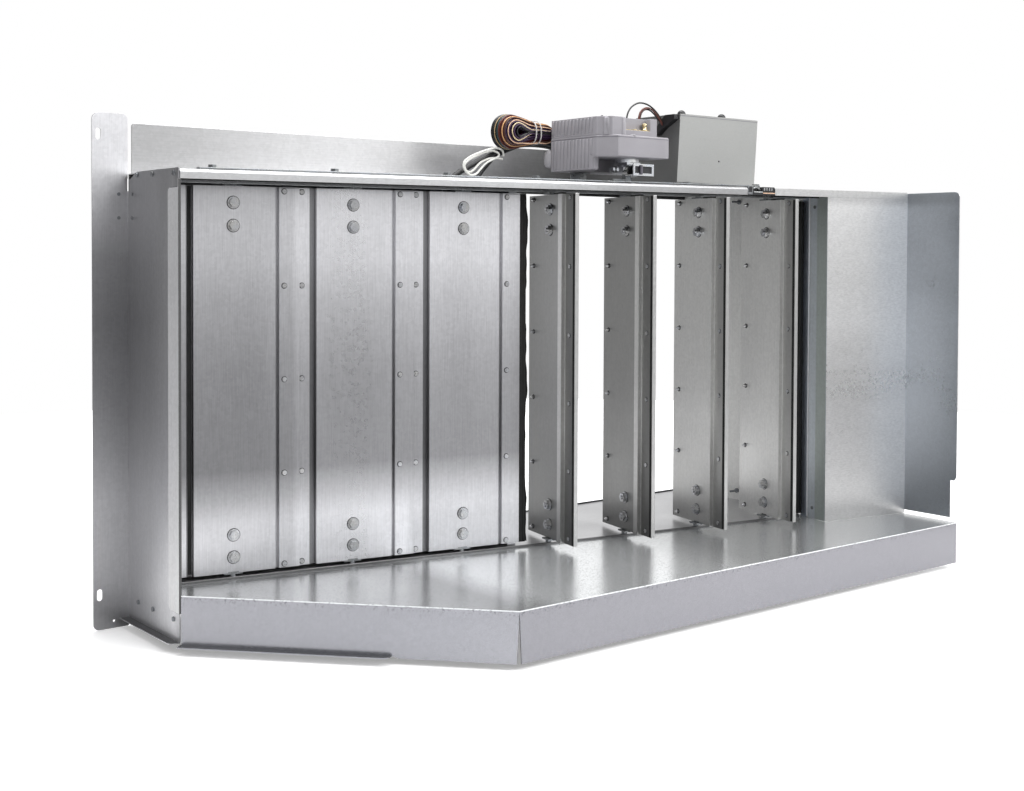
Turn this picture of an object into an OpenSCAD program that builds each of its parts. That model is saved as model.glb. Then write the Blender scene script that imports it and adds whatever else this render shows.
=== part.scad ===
// Economizer damper section for a rooftop air handler: a folded galvanised frame
// with a bank of return-air blades, a bank of outside-air blades, one link bar
// that turns them together, a direct-coupled actuator and a control box.
// The damper bank stands at a small angle to the rear mounting plane.

/* [View] */
// Which node to draw

/* [Frame] */
// Height from the drip pan to the top panel
frame_h = 508; // [400:1:620]
// Angle between the damper bank and the rear mounting plane, in degrees
bank_angle = 10.25; // [0:0.25:20]
// Depth of the left side panel, front post to rear plane
side_d = 153; // [120:1:200]
// Length of the damper bank along its own front plane
bank_len = 991; // [900:1:1100]
// Width between the side panel and the right duct wall
duct_w = 1000; // [800:1:1200]
// Height of the rear header above the drip pan
header_z = 572.5; // [540:0.5:620]
// Sheet metal thickness
sheet = 1.2; // [0.8:0.1:2]

/* [Mounting flanges] */
// Width of each rear mounting flange
flange_w = 46.7; // [30:0.1:60]
// Bottom of the rear flanges, from the drip pan
flange_bot = -68.5; // [-90:0.5:0]
// Top of the rear flanges, from the drip pan
flange_top = 583.5; // [560:0.5:620]
// Distance between the two slots of a flange
slot_pitch = 581; // [500:1:620]
// Slot length
slot_len = 15; // [10:0.5:25]
// Slot width
slot_wid = 7; // [5:0.5:10]

/* [Blades] */
// Distance between the return-air pivots
ra_pitch = 159.5; // [140:0.5:180]
// Distance between the outside-air pivots
oa_pitch = 127; // [110:0.5:140]
// First return-air pivot from the left post
ra_first = 81.6; // [70:0.1:95]
// First outside-air pivot from the left post
oa_first = 537; // [520:0.5:550]
// Depth of the pivot line behind the front plane
piv_n = 58; // [50:0.5:65]
// Lower end of the blades
blade_z0 = 7.5; // [6.5:0.1:12]
// Height of the duct floor's underside above the pan
floor_z = 1.6; // [1:0.1:3]
// Turn of the outside-air blades from closed to open, in degrees
oa_open = 88; // [80:0.5:95]
// Upper end of the blades
blade_z1 = 491.5; // [480:0.5:493]
// Radius of the pivot pins
pin_r = 4; // [3:0.1:5]
// Radius of the pivot holes
hole_r = 4.05; // [3.05:0.05:5.1]

/* [Linkage] */
// Crank arm length between its two centres
crank_l = 30; // [24:1:34]
// Direction of the cranks at rest, in degrees from the bank's long axis
crank_dir = 200; // [190:1:210]

/* [Drip pan] */
// Depth of the pan corner in front of the left post
pan_front = 300.5; // [250:0.5:340]
// Distance of that corner to the right of the left post
pan_corner = 278; // [230:1:320]
// Right end of the pan
pan_right = 1133; // [1050:1:1200]
// Height of the pan's front lip
pan_lip = 61.8; // [40:0.1:80]

/* [Controls] */
// Height of the actuator's underside
act_z = 528; // [524:0.5:535]
// Control box width
box_w = 168.5; // [140:0.5:175]
// Control box depth
box_d = 95; // [70:1:100]
// Top of the control box above the top panel
box_h = 108; // [90:1:120]
// Forward lean of the control box over its height
box_lean = 7; // [0:0.5:9]

/* [Hidden] */
$fn = 48;
// bounding box centre in plan and its lowest point, so the origin is below the middle
ox = -544.95;
oy = 73.75;
oz = 68.5;
t = sheet;
top_z = frame_h;
jamb_s = bank_len;
rail_h = 11.6;
// route points in plan, x and y from the left post, z from the pan
sleeve_a = [[640, 22, 566], [640, 31, 566], [638, 42, 567.5], [630, 52, 570], [616, 57.5, 572.5], [600, 58.5, 573.5], [580, 58.5, 573], [556, 58, 570], [534, 58, 564], [514, 57, 556], [498, 56, 548], [482, 56, 540], [464, 56, 531], [446, 56, 521], [425, 56, 507]];
sleeve_b = [[648, 22, 551], [648, 34, 551], [646, 48, 555], [638, 60, 563], [622, 66.5, 569.5], [596, 67.5, 571], [570, 67.5, 569], [550, 67, 563], [532, 66, 556], [518, 66, 549], [508, 65, 540], [498, 65, 530], [488, 65, 519], [472, 65, 507]];
white_pts = [[524, 49, 550], [518, 44, 557], [506, 42, 560], [494, 41, 558], [478, 41, 553], [462, 41, 547], [450, 41, 540], [446, 41, 533], [450, 41, 525], [458, 41, 520], [468, 41, 521], [476, 41, 528], [486, 41, 537], [498, 41, 543], [510, 43, 548],
  [512, 46, 553], [502, 46, 556], [488, 46, 553], [472, 46, 547], [458, 46, 540], [452, 46, 533], [455, 46, 526], [462, 46, 524], [470, 46, 529], [480, 46, 538], [494, 46, 544], [508, 48, 546], [522, 49, 545]];
arc_pts = [[665, -60, 602], [665, -60, 607], [669, -59, 615], [677, -58, 623], [691, -57, 629], [707, -55, 629], [720, -54, 625], [734, -52, 617], [745, -50, 607]];
inner_pts = [[691, -58, 602], [691, -58, 607], [695, -57, 615], [704, -56, 621], [715, -55, 622], [726, -54, 617], [736, -53, 609], [745, -52, 600]];

function ra_s(i) = ra_first + ra_pitch * i;
function oa_s(i) = oa_first + oa_pitch * i;
function rad(a) = a * PI / 180;
// corner points of a rounded rectangle, from x0, y0 to x1, y1, one radius per corner
function rrect(x0, y0, x1, y1, a, b, c, d) = concat(
  [for (k = [0:6]) [x0 + a - a * cos(90 * k / 6), y0 + a - a * sin(90 * k / 6)]],
  [for (k = [0:6]) [x1 - b + b * sin(90 * k / 6), y0 + b - b * cos(90 * k / 6)]],
  [for (k = [0:6]) [x1 - c + c * cos(90 * k / 6), y1 - c + c * sin(90 * k / 6)]],
  [for (k = [0:6]) [x0 + d - d * sin(90 * k / 6), y1 - d + d * cos(90 * k / 6)]]);

// frames of reference: the plan frame stands on the left post, the bank frame is turned with the blades
module plan() { translate([ox, oy, oz]) children(); }
module bank() { plan() rotate([0, 0, -bank_angle]) children(); }
module piv(s, open = 0) { bank() translate([s, piv_n, 0]) rotate([0, 0, open]) children(); }
module blk(a, b) { translate(a) cube(b - a); }
// upright sheet in the plane across x, outline in (y, z)
module upright_x(x, th, pts) { translate([x, 0, 0]) rotate([90, 0, 90]) linear_extrude(th) polygon(pts); }
// upright sheet in the plane across y, outline in (x, z)
module upright_y(y, th, pts) { translate([0, y + th, 0]) rotate([90, 0, 0]) linear_extrude(th) polygon(pts); }
module slot_y(x, z, w, l) {
  translate([x, 0, z]) rotate([90, 0, 0]) {
    translate([0, (l - w) / 2, -400]) cylinder(r = w / 2, h = 800);
    translate([0, -(l - w) / 2, -400]) cylinder(r = w / 2, h = 800);
    translate([-w / 2, -(l - w) / 2, -400]) cube([w, l - w, 800]);
  }
}

// swept round tube through smooth points
function unit(v) = v / norm(v);
function cr(p0, p1, p2, p3, u) = 0.5 * ((2 * p1) + (p2 - p0) * u + (2 * p0 - 5 * p1 + 4 * p2 - p3) * u * u + (3 * p1 - p0 - 3 * p2 + p3) * u * u * u);
function smooth(p, m) = let (n = len(p)) concat([for (i = [0:n - 2], k = [0:m - 1]) cr(p[max(i - 1, 0)], p[i], p[i + 1], p[min(i + 2, n - 1)], k / m)], [p[n - 1]]);
function tang(p, i) = unit(p[min(i + 1, len(p) - 1)] - p[max(i - 1, 0)]);
function side(d) = unit(cross(d, abs(d[1]) < 0.8 ? [0, 1, 0] : [1, 0, 0]));
module tube(p, r, sides = 8) {
  n = len(p);
  rings = [for (i = [0:n - 1]) let (d = tang(p, i), a = side(d), b = cross(d, a)) [for (k = [0:sides - 1]) p[i] + r * (a * cos(360 * k / sides) + b * sin(360 * k / sides))]];
  pts = [for (g = rings) for (q = g) q];
  polyhedron(points = pts, faces = concat(
    [[for (k = [0:sides - 1]) k]],
    [for (i = [0:n - 2], k = [0:sides - 1]) [i * sides + k, (i + 1) * sides + k, (i + 1) * sides + (k + 1) % sides, i * sides + (k + 1) % sides]],
    [[for (k = [sides - 1:-1:0]) (n - 1) * sides + k]]), convexity = 6);
}

// ---------------------------------------------------------------- frame
module left_side() {
  color([0.66, 0.67, 0.69]) plan() difference() {
    union() {
      upright_x(0, t, [[1, -57], [side_d, -57], [side_d, 486], [147, 486], [147, 500], [141, 502], [124, top_z + 1.5], [1, top_z + 1.5]]);
      upright_y(side_d - t, t, rrect(-flange_w, flange_bot, 0.01, flange_top, 8, 2, 7, 9));
      // bottom edge turned outwards, its front corner rounded
      translate([0, 0, -57 - t]) linear_extrude(t) polygon(concat([[t, side_d - t], [-12, side_d - t]], [for (k = [0:6]) [-4 - 8 * cos(15 * k), 10.5 - 8 * sin(15 * k)]], [[t, 2.5]]));
    }
    slot_y(-38.5, -24, slot_wid, slot_len);
    slot_y(-38.5, -24 + slot_pitch, slot_wid, slot_len);
    translate([-19.9, 0, -59.3]) rotate([-90, 0, 0]) cylinder(r = 1.6, h = 300);
    blk([-0.6, 148, 486], [0.02, 160, 502]);
  }
}

module rear_plate() {
  color([0.72, 0.73, 0.74]) plan() difference() {
    upright_y(side_d - t, t, [[t + 0.1, -57], [duct_w - 0.1, -57], [duct_w - 0.1, header_z], [8, header_z], [5, header_z - 3], [5, top_z], [t + 0.1, top_z]]);
    blk([494, 0, 5], [994, 300, top_z - 6]);
  }
}

// depth in the plan frame at a distance along it, for a depth in the bank frame
function w_at(u, n) = (n - u * sin(bank_angle)) / cos(bank_angle);
function on_bank(s, n) = [s * cos(bank_angle) + n * sin(bank_angle), -s * sin(bank_angle) + n * cos(bank_angle)];
module lid_panel() {
  color([0.78, 0.79, 0.8]) difference() {
    union() {
      plan() translate([0, 0, top_z - t]) linear_extrude(t) polygon([
          [t + 0.1, 4], on_bank(1.4, 4), on_bank(838, 4), on_bank(838, 21), on_bank(986, 21),
          [duct_w + t, -152], [duct_w + t, side_d - t], [t + 0.1, side_d - t]]);
      // down-turned front rail with a rounded top edge
      bank() translate([1.5, 0, 0]) rotate([90, 0, 90]) linear_extrude(836.5) polygon(concat(
        [[t, top_z - rail_h], [0, top_z - rail_h]],
        [for (k = [0:6]) [4 - 4 * cos(15 * k), top_z - 4 + 4 * sin(15 * k)]],
        [[8, top_z], [8, top_z - t]],
        [for (k = [6:-1:0]) [4 - (4 - t) * cos(15 * k), top_z - 4 + (4 - t) * sin(15 * k)]]));
    }
    for (i = [0:2]) piv(ra_s(i)) translate([0, 0, 500]) cylinder(r = hole_r, h = 20);
    for (i = [0:3]) piv(oa_s(i)) translate([0, 0, 500]) cylinder(r = hole_r, h = 20);
  }
}

// sill below the blades, and the floor of the outside-air duct behind it
module sill_floor() {
  color([0.7, 0.7, 0.71]) difference() {
    union() {
      bank() blk([3.5, 52, 0], [bank_len - 7.5, 52 + t, floor_z + t / 2]);
      plan() translate([0, 0, floor_z]) linear_extrude(t) polygon([
          on_bank(3, 52.6), on_bank(bank_len - 7, 52.6), [duct_w - 0.1, -100], [duct_w - 0.1, side_d - t - 0.1], [489.2, side_d - t - 0.1],
          [489.2, w_at(489.2, 76)], on_bank(3, 76)]);
    }
    for (i = [0:2]) piv(ra_s(i)) cylinder(r = hole_r, h = 20);
    for (i = [0:3]) piv(oa_s(i)) cylinder(r = hole_r, h = 20);
  }
}

// channel lapped over the front edge of the side panel
module left_post() {
  color([0.8, 0.8, 0.82]) plan() {
    upright_x(-t, t - 0.01, concat([[-0.2, -22]], [for (k = [0:6]) [23 + 6 * sin(15 * k), -16 - 6 * cos(15 * k)]], [for (k = [0:6]) [23 + 6 * cos(15 * k), 480 + 6 * sin(15 * k)]], [[-0.2, 486]]));
    blk([-t, -0.2, -22], [t * 2, 0.98, top_z - rail_h - 0.3]);
    blk([t + 0.02, -0.2, 1], [t * 2, 40, top_z - rail_h - 0.3]);
  }
}

module mid_divider() {
  color([0.68, 0.68, 0.7]) plan() translate([0, 0, floor_z + t]) linear_extrude(top_z - floor_z - 2 * t) polygon([
      on_bank(474, 63), [489 + t, w_at(489 + t, 63)], [489 + t, side_d - t], [489, side_d - t], [489, w_at(489, 63 + t)], on_bank(474, 63 + t)]);
}

module duct_wall() {
  color([0.78, 0.78, 0.79]) plan() difference() {
    union() {
      upright_x(duct_w, t, [[-126.6, floor_z], [side_d, floor_z], [side_d, top_z - t], [-126.6, top_z - t]]);
      upright_y(side_d - t, t, rrect(duct_w + t - 0.01, flange_bot, duct_w + t + flange_w, flange_top, 2, 8, 9, 7));
    }
    slot_y(duct_w + t + 38.5, -24, slot_wid, slot_len);
    slot_y(duct_w + t + 38.5, -24 + slot_pitch, slot_wid, slot_len);
  }
}

// lapped right jamb between the closure panel and the duct wall
module side_jamb() {
  color([0.55, 0.58, 0.63]) bank() {
    blk([jamb_s, 2 * t, 0.3], [jamb_s + t, 41, top_z - 2.6]);
    blk([jamb_s + t, 20, 0.3], [jamb_s + 2 * t, 60, top_z - 2.6]);
    blk([jamb_s + t, 60 - t, 0.3], [1005.2, 60, top_z - 2.6]);
  }
}

// closure panel right of the bank: plate, end flange with a notch, and its own top rail
module closure() {
  color([0.82, 0.83, 0.84]) {
    difference() {
      bank() {
        blk([jamb_s, t, 0.3], [1154, 2 * t, top_z - 2]);
        blk([889, 0, top_z - 11.5], [1151.6, t, top_z - 0.8]);
        blk([889, 0, top_z - 2], [1151.6, 20, top_z - 0.8]);
      }
      plan() blk([1136.6, -300, 0], [1200, 0, 600]);
    }
    plan() upright_x(1135.4, t, concat(
        [[-203.2, 5.5], [-203.2, top_z - 2.5]],
        [for (k = [0:6]) [-289.5 - 8 * sin(15 * k), top_z - 10.5 + 8 * cos(15 * k)]],
        [[-297.5, 68], [-294, 63], [-287, 63], [-287, 5.5]]));
  }
}

// drip pan: a slanted left edge and a straight right edge, both with lips folded down
module pan() {
  ll = norm([pan_corner, pan_front]);
  la = atan2(-pan_front, pan_corner);
  out = ll * 0.64;
  color([0.6, 0.63, 0.65]) plan() {
    translate([0, 0, -t]) linear_extrude(t) polygon([[2.6, -2.8], [pan_corner, -pan_front], [pan_right, -pan_front], [pan_right, -130], [990, -104], [2.6, 73]]);
    // left lip, its lower part folded outwards for most of its length
    rotate([0, 0, la]) {
      translate([0, t, 0]) rotate([90, 0, 0]) linear_extrude(t) polygon([[1.5, -0.2], [1.5, -60], [out, -60], [out + 6, -62], [ll - 3.3, -62], [ll, -0.2]]);
      translate([0, 0, -60]) linear_extrude(t) polygon(concat([[2, 0.5], [0, -5], [1, -12]], [for (k = [0:6]) [out - 12 + 9 * sin(15 * k), -12 + 12 - 12 * cos(15 * k)]], [[out, 0.5]]));
    }
    // right lip
    upright_y(-pan_front, t, [[pan_corner, -0.2], [pan_corner + 3.3, -pan_lip], [pan_right, -pan_lip], [pan_right, -0.2]]);
  }
}

module gaskets() {
  color([0.05, 0.05, 0.05]) {
    bank() blk([984.2, 57.6, 4], [jamb_s + t, 63, 492]);
    plan() blk([t, 50, 9], [4.6, 66, 490]);
  }
}

module head_x(p, r, h) { translate(p) rotate([0, -90, 0]) cylinder(r = r, h = h); }
module frame_bolts() {
  color([0.75, 0.75, 0.74]) plan() {
    for (p = [[14, 503.3], [76, 504.6], [122, 505.4], [17, -31.4], [77, -32], [121.5, -32.3]]) head_x([0, p[0], p[1]], 3, 1.6);
    for (p = [[138, 482], [138, 452]]) head_x([0, p[0], p[1]], 2.2, 1);
    for (p = [[-12, 482], [-12, 452]]) translate([p[0], side_d - t, p[1]]) rotate([90, 0, 0]) cylinder(r = 2.2, h = 1);
    for (z = [18, 495]) {
      head_x([duct_w, 26, z], 1.8, 17);
      translate([duct_w, 26, z]) rotate([0, -90, 0]) cylinder(r = 4, h = 3.4, $fn = 6);
    }
    rotate([0, 0, -bank_angle]) for (z = [17, 482]) {
      head_x([jamb_s, 30, z], 2.6, 1.4);
    }
  }
}

// ---------------------------------------------------------------- blades, closed with the front towards -y
module rects(list, z0, z1) { union() for (r = list) blk([r[0], r[1], z0], [r[2], r[3], z1]); }
ra_form = [[-86.4, -1.2, -58.7, 0], [-59.9, -1.2, -58.7, 4.2], [-59.9, 3, -49.2, 4.2], [-50.4, -4, -49.2, 4.2], [-50.4, -4, 54.7, -2.8], [53.5, -4, 54.7, 2.2], [53.5, 1, 60.1, 2.2], [58.9, -4, 60.1, 2.2], [58.9, -4, 86.3, -2.8]];
oa_form = [[-28, -2, 65, -0.8], [-29.2, -2, -28, 2], [-39, 0.8, -28, 2], [-39, -5.2, -37.8, 2], [-66, -5.2, -37.8, -4]];
bolt_z = [27.2, 55.2, 442.3, 471];
module bolt_holes() { for (z = bolt_z) translate([0, -12, z]) rotate([-90, 0, 0]) cylinder(r = 3.02, h = 20); }
module ra_skin(i) { color([0.74, 0.75, 0.76]) piv(ra_s(i)) difference() { rects(ra_form, blade_z0, blade_z1); blk([-7, -5, 0], [7, 0, blade_z0 + 1.6]); bolt_holes(); } }
module oa_skin(i) { color([0.62, 0.63, 0.63]) piv(oa_s(i), oa_open) difference() { rects(oa_form, blade_z0, blade_z1); blk([-7, -5, 0], [7, 0, blade_z0 + 1.6]); bolt_holes(); } }
module ra_strip(i) { color([0.78, 0.79, 0.8]) piv(ra_s(i)) blk([58.9, -5.2, blade_z0 + 1], [86.3, -4, blade_z1 - 1]); }
module oa_strip(i) {
  color([0.72, 0.73, 0.74]) piv(oa_s(i), oa_open) {
    blk([38.5, -3.2, blade_z0 + 1], [64.5, -2, blade_z1 - 1]);
  }
}
module oa_edge(i) {
  color([0.85, 0.85, 0.86]) piv(oa_s(i), oa_open) {
    blk([-68, -9.6, blade_z0], [-66.8, -3.6, blade_z1]);
    blk([-68, -6.4, blade_z0], [-44, -5.2, blade_z1]);
  }
}
module ra_seal(i) { color([0.04, 0.04, 0.04]) piv(ra_s(i)) if (i < 2) blk([70, -2.8, blade_z0 + 1], [84.5, -1.6, blade_z1 - 1]); else { blk([70, -2.8, blade_z0 + 1], [88, -1.6, blade_z1 - 1]); blk([87, -4.6, blade_z0], [96, -0.4, blade_z1]); } }
module oa_seal(i) { color([0.04, 0.04, 0.04]) piv(oa_s(i), oa_open) blk([-66.7, -4, blade_z0 + 1], [-62, -3.4, blade_z1 - 1]); }

// hexagon bolt with a washer flange, its axis along y, head towards -y
module hex_bolt(x, z, face, back) {
  translate([x, face, z]) rotate([90, 0, 0]) { cylinder(r = 7.6, h = 1.4); cylinder(r = 6, h = 5.2, $fn = 6); }
  translate([x, back, z]) rotate([-90, 0, 0]) { cylinder(r = 7.8, h = 1.3); cylinder(r = 6.8, h = 6, $fn = 6); cylinder(r = 3, h = 8); }
  translate([x, face, z]) rotate([-90, 0, 0]) cylinder(r = 3, h = back - face);
}
ra_rows = [12.6, 128.9, 248, 366.9, 486.4];
oa_rows = [15.3, 109.2, 202.6, 296.6, 391.4, 486];
module ra_bolts(i) {
  color([0.7, 0.7, 0.71]) piv(ra_s(i)) {
    for (z = bolt_z) hex_bolt(0, z, -4, -0.8);
    for (z = ra_rows) {
      translate([65.7, -5.2, z]) rotate([90, 0, 0]) cylinder(r = 3, h = 1.5);
      translate([-69.2, -1.2, z]) rotate([90, 0, 0]) cylinder(r = 3, h = 1.4);
    }
  }
}
module oa_bolts(i) {
  color([0.7, 0.7, 0.71]) piv(oa_s(i), oa_open) {
    for (z = bolt_z) hex_bolt(0, z, -4, -0.8);
    for (z = oa_rows) {
      translate([50, -3.2, z]) rotate([90, 0, 0]) cylinder(r = 3, h = 1.5);
      translate([50, -0.8, z]) rotate([-90, 0, 0]) { cylinder(r = 2.2, h = 3); translate([0, 0, 2.9]) cylinder(r1 = 2, r2 = 0.5, h = 3.4); }
      translate([-52, -4, z]) rotate([-90, 0, 0]) cylinder(r = 2.8, h = 1.1);
      translate([-52, -6.4, z]) rotate([90, 0, 0]) cylinder(r = 2.4, h = 0.9);
    }
  }
}

// pivot stubs: a bolted plate with a tab over the blade's end, a pin, and the crank on the upper one
arm_z = top_z + 0.6;
arm_h = 2;
bar_z = top_z + 3.2;
bar_h = 2;
module arm(z, h, c) {
  translate([0, 0, z]) { cylinder(r = 8, h = h); translate([0, -6.5, 0]) cube([c, 13, h]); translate([c, 0, 0]) cylinder(r = 6.5, h = h); }
}
// the drive crank has a second arm over the bar that carries the shaft
module crank(kind) {
  arm(arm_z, arm_h, crank_l);
  translate([crank_l, 0, arm_z + 1]) cylinder(r = 3, h = kind == 1 ? 6 : 5.2);
  if (kind == 1) { arm(bar_z + bar_h + 0.6, 2.2, crank_l); translate([0, 0, bar_z + bar_h + 1]) cylinder(r = 6.35, h = 30); }
  else translate([crank_l, 0, bar_z + bar_h + 0.3]) cylinder(r = 5.5, h = kind == 2 ? 1.6 : 3.2, $fn = 6);
}
module stub_pair(s, open, y0, y1, ya, yb, kind = 0) {
  color([0.74, 0.72, 0.66]) {
    piv(s, open) {
      difference() { blk([-12, y0, 430], [12, y1, blade_z1 + 2]); for (z = bolt_z) translate([0, y0 - 1, z]) rotate([-90, 0, 0]) cylinder(r = 3.02, h = 5); }
      blk([-10, ya, blade_z1], [10, yb, blade_z1 + 2]);
      translate([0, 0, blade_z1 + 1]) cylinder(r = pin_r, h = arm_z + arm_h + 0.2 - blade_z1 - 1);
      difference() { blk([-12, y0, blade_z0 - 2], [12, y1, 70]); for (z = bolt_z) translate([0, y0 - 1, z]) rotate([-90, 0, 0]) cylinder(r = 3.02, h = 5); }
      blk([-10, ya, blade_z0 - 2], [10, yb, blade_z0]);
      translate([0, 0, 0.6]) cylinder(r = pin_r, h = blade_z0 - 1.6);
    }
    piv(s) rotate([0, 0, crank_dir]) crank(kind);
  }
}
module ra_stubs(i) { stub_pair(ra_s(i), 0, -2.8, -0.8, -2.8, 6); }
module oa_stubs(i) { stub_pair(oa_s(i), oa_open, -4, -2, -4, 5, i == 1 ? 1 : i > 1 ? 2 : 0); }

// flat link bar on the crank pins
module rod() {
  cs = crank_l * cos(crank_dir);
  cn = piv_n + crank_l * sin(crank_dir);
  color([0.7, 0.71, 0.72]) bank() difference() {
    translate([cs, cn, bar_z]) {
      blk([ra_s(0) - 18, -6.5, 0], [oa_s(3), 6.5, bar_h]);
      translate([oa_s(3), 0, 0]) cylinder(r = 6.5, h = bar_h);
    }
    for (s = [ra_s(0), ra_s(1), ra_s(2), oa_s(0), oa_s(2), oa_s(3)]) translate([s + cs, cn, bar_z - 1]) cylinder(r = 3.5, h = 5);
    translate([oa_s(1) + cs, cn, bar_z - 1]) cylinder(r = 3.06, h = 5);
  }
}

// ---------------------------------------------------------------- controls
au = 590;
// actuator housing: a wide slab above a deeper, narrower foot part
module act_lower() {
  color([0.68, 0.67, 0.71]) plan() difference() {
    union() {
      translate([0, 0, act_z + 18]) linear_extrude(30) polygon([[au, 22], [au, -78], [au + 2, -81], [au + 19, -102], [au + 22, -103], [au + 117, -103], [au + 120, -100], [au + 120, 22]]);
      translate([0, 0, act_z]) linear_extrude(18.5) polygon([[au, 22], [au, -70], [au + 2, -72], [au + 10, -72], [au + 38, -30], [au + 120, -30], [au + 120, 22]]);
    }
    translate([on_bank(oa_s(1), piv_n)[0], on_bank(oa_s(1), piv_n)[1], act_z]) cylinder(r = 6.8, h = 60);
  }
}
module act_upper() {
  color([0.72, 0.71, 0.75]) plan() difference() {
    translate([0, 0, act_z + 48]) linear_extrude(26) polygon([[au + 0.5, 21], [au + 0.5, -78], [au + 2, -80], [au + 12, -93], [au + 15, -95], [au + 101, -95], [au + 103, -93], [au + 103, 21]]);
    // step with the release knob at the front edge
    translate([au + 40, -100, act_z + 56]) cube([48, 15, 30]);
  }
}
module act_foot() {
  color([0.8, 0.8, 0.8]) plan() difference() {
    union() {
      blk([614, 4, top_z], [644, 20, top_z + 1.6]);
      blk([614, 4, top_z], [644, 5.6, act_z]);
      blk([614, -4, act_z - 1.6], [644, 5.6, act_z]);
    }
    translate([622, 12, top_z - 1]) cylinder(r = 1.6, h = 5);
    translate([636, 12, top_z - 1]) cylinder(r = 1.6, h = 5);
  }
}
// clamp on the drive shaft: hub, jaw block, two studs with nuts and a stamped yoke with a window
module hub_clamp() {
  color([0.82, 0.82, 0.84]) piv(oa_s(1)) rotate([0, 0, bank_angle]) difference() {
    union() {
      translate([0, 0, act_z + 12]) cylinder(r = 19, h = 5.7);
      blk([-14, -16, 523], [12, 16, act_z + 12.4]);
      for (y = [-11, 11]) {
        translate([-18, y, 531]) rotate([0, 90, 0]) cylinder(r = 2.5, h = 44);
        translate([-19.5, y, 531]) rotate([0, 90, 0]) cylinder(r = 4.6, h = 4, $fn = 6);
      }
      blk([8, -16, 521], [26, 16, 522.6]);
      blk([12, -24, 521], [13.6, 16, 538]);
      blk([-10, -25.6, 521], [30, -24, 538]);
      blk([-10, -25.6, 521], [30, -8, 522.6]);
    }
    translate([0, 0, 500]) cylinder(r = 6.4, h = 44.3);
    blk([-7, -30, 524.5], [26, -23, 534.5]);
  }
}
bx = 753;
by = -74;
foot_h = 7.6;
lean_k = box_lean / box_h;
// outline of the box in y and z, leaning forwards
module ctrl_box() {
  color([0.72, 0.72, 0.71]) plan() difference() {
    union() {
      upright_x(bx, box_w, [[by - lean_k * foot_h, top_z + foot_h], [by - box_lean, top_z + box_h], [by - box_lean + box_d, top_z + box_h], [by - lean_k * foot_h + box_d, top_z + foot_h]]);
      blk([bx + 6, -22, top_z], [bx + box_w - 6, 16, top_z + foot_h + 0.2]);
    }
    translate([840, by - 20, 549.5]) rotate([-90, 0, 0]) cylinder(r = 1.4, h = 24);
  }
}
module plugs() {
  color([0.06, 0.06, 0.06]) plan() for (x = [765, 851]) translate([x, by + 3, top_z + box_h]) difference() { sphere(r = 6.3); translate([-8, -8, -8]) cube([16, 16, 8]); }
}
module wire_gland() {
  color([0.08, 0.08, 0.08]) plan() upright_x(bx - 10, 10, [[-78, 608], [-78, 615], [-58, 615], [-48, 606], [-36, 594], [-34, 586], [-42, 586], [-56, 597]]);
}
module hank() {
  color([0.12, 0.1, 0.1]) plan() {
    translate([0, 50, 0]) rotate([90, 0, 0]) linear_extrude(26) union() {
      translate([526, 584]) circle(r = 26);
      translate([540, 584]) circle(r = 25);
      polygon([[526, 558], [540, 559], [566, 561], [600, 563], [600, 597], [576, 597], [552, 606], [530, 609.7]]);
      translate([600, 580]) circle(r = 17);
    }
    blk([606, 22, 568], [632, 34, 592]);
  }
}
module sleeves() { color([0.05, 0.05, 0.05]) plan() { tube(sleeve_a, 4.2, 8); tube(sleeve_b, 4.2, 8); } }
module pale_lead() { color([0.85, 0.85, 0.83]) plan() tube(white_pts, 1.5, 8); }
module top_leads() { color([0.3, 0.2, 0.2]) plan() { tube(arc_pts, 1.2, 8); tube(inner_pts, 2.6, 8); } }
module rail_socket() {
  color([0.1, 0.1, 0.1]) bank() {
    blk([866, 1, top_z - 7], [888.4, 11, top_z + 0.6]);
    blk([838.4, 0, top_z - rail_h], [849, t, top_z - 0.2]);
    blk([838.4, 0, top_z - rail_h], [888.4, t, top_z - 7.4]);
  }
}

left_side();  // side_panel
rear_plate();  // back_plate
lid_panel();  // top_panel
sill_floor();  // duct_floor
left_post();  // left_jamb
mid_divider();  // divider
duct_wall();  // right_wall
side_jamb();  // right_jamb
closure();  // closure_panel
pan();  // bottom_pan
gaskets();  // jamb_gaskets
frame_bolts();  // frame_screws
ra_skin(0);  // ra1_skin
ra_strip(0);  // ra1_strip
ra_seal(0);  // ra1_seal
ra_stubs(0);  // ra1_stubs
ra_bolts(0);  // ra1_bolts
ra_skin(1);  // ra2_skin
ra_strip(1);  // ra2_strip
ra_seal(1);  // ra2_seal
ra_stubs(1);  // ra2_stubs
ra_bolts(1);  // ra2_bolts
ra_skin(2);  // ra3_skin
ra_strip(2);  // ra3_strip
ra_seal(2);  // ra3_seal
ra_stubs(2);  // ra3_stubs
ra_bolts(2);  // ra3_bolts
oa_skin(0);  // oa1_skin
union() { oa_strip(0); oa_edge(0); }  // oa1_strip
oa_seal(0);  // oa1_seal
oa_stubs(0);  // oa1_stubs
oa_bolts(0);  // oa1_bolts
oa_skin(1);  // oa2_skin
union() { oa_strip(1); oa_edge(1); }  // oa2_strip
oa_seal(1);  // oa2_seal
oa_stubs(1);  // oa2_stubs
oa_bolts(1);  // oa2_bolts
oa_skin(2);  // oa3_skin
union() { oa_strip(2); oa_edge(2); }  // oa3_strip
oa_seal(2);  // oa3_seal
oa_stubs(2);  // oa3_stubs
oa_bolts(2);  // oa3_bolts
oa_skin(3);  // oa4_skin
union() { oa_strip(3); oa_edge(3); }  // oa4_strip
oa_seal(3);  // oa4_seal
oa_stubs(3);  // oa4_stubs
oa_bolts(3);  // oa4_bolts
rod();  // link_bar
act_lower();  // actuator_body
act_upper();  // actuator_cover
hub_clamp();  // shaft_clamp
act_foot();  // actuator_foot
ctrl_box();  // control_box
plugs();  // box_plugs
wire_gland();  // box_gland
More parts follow.
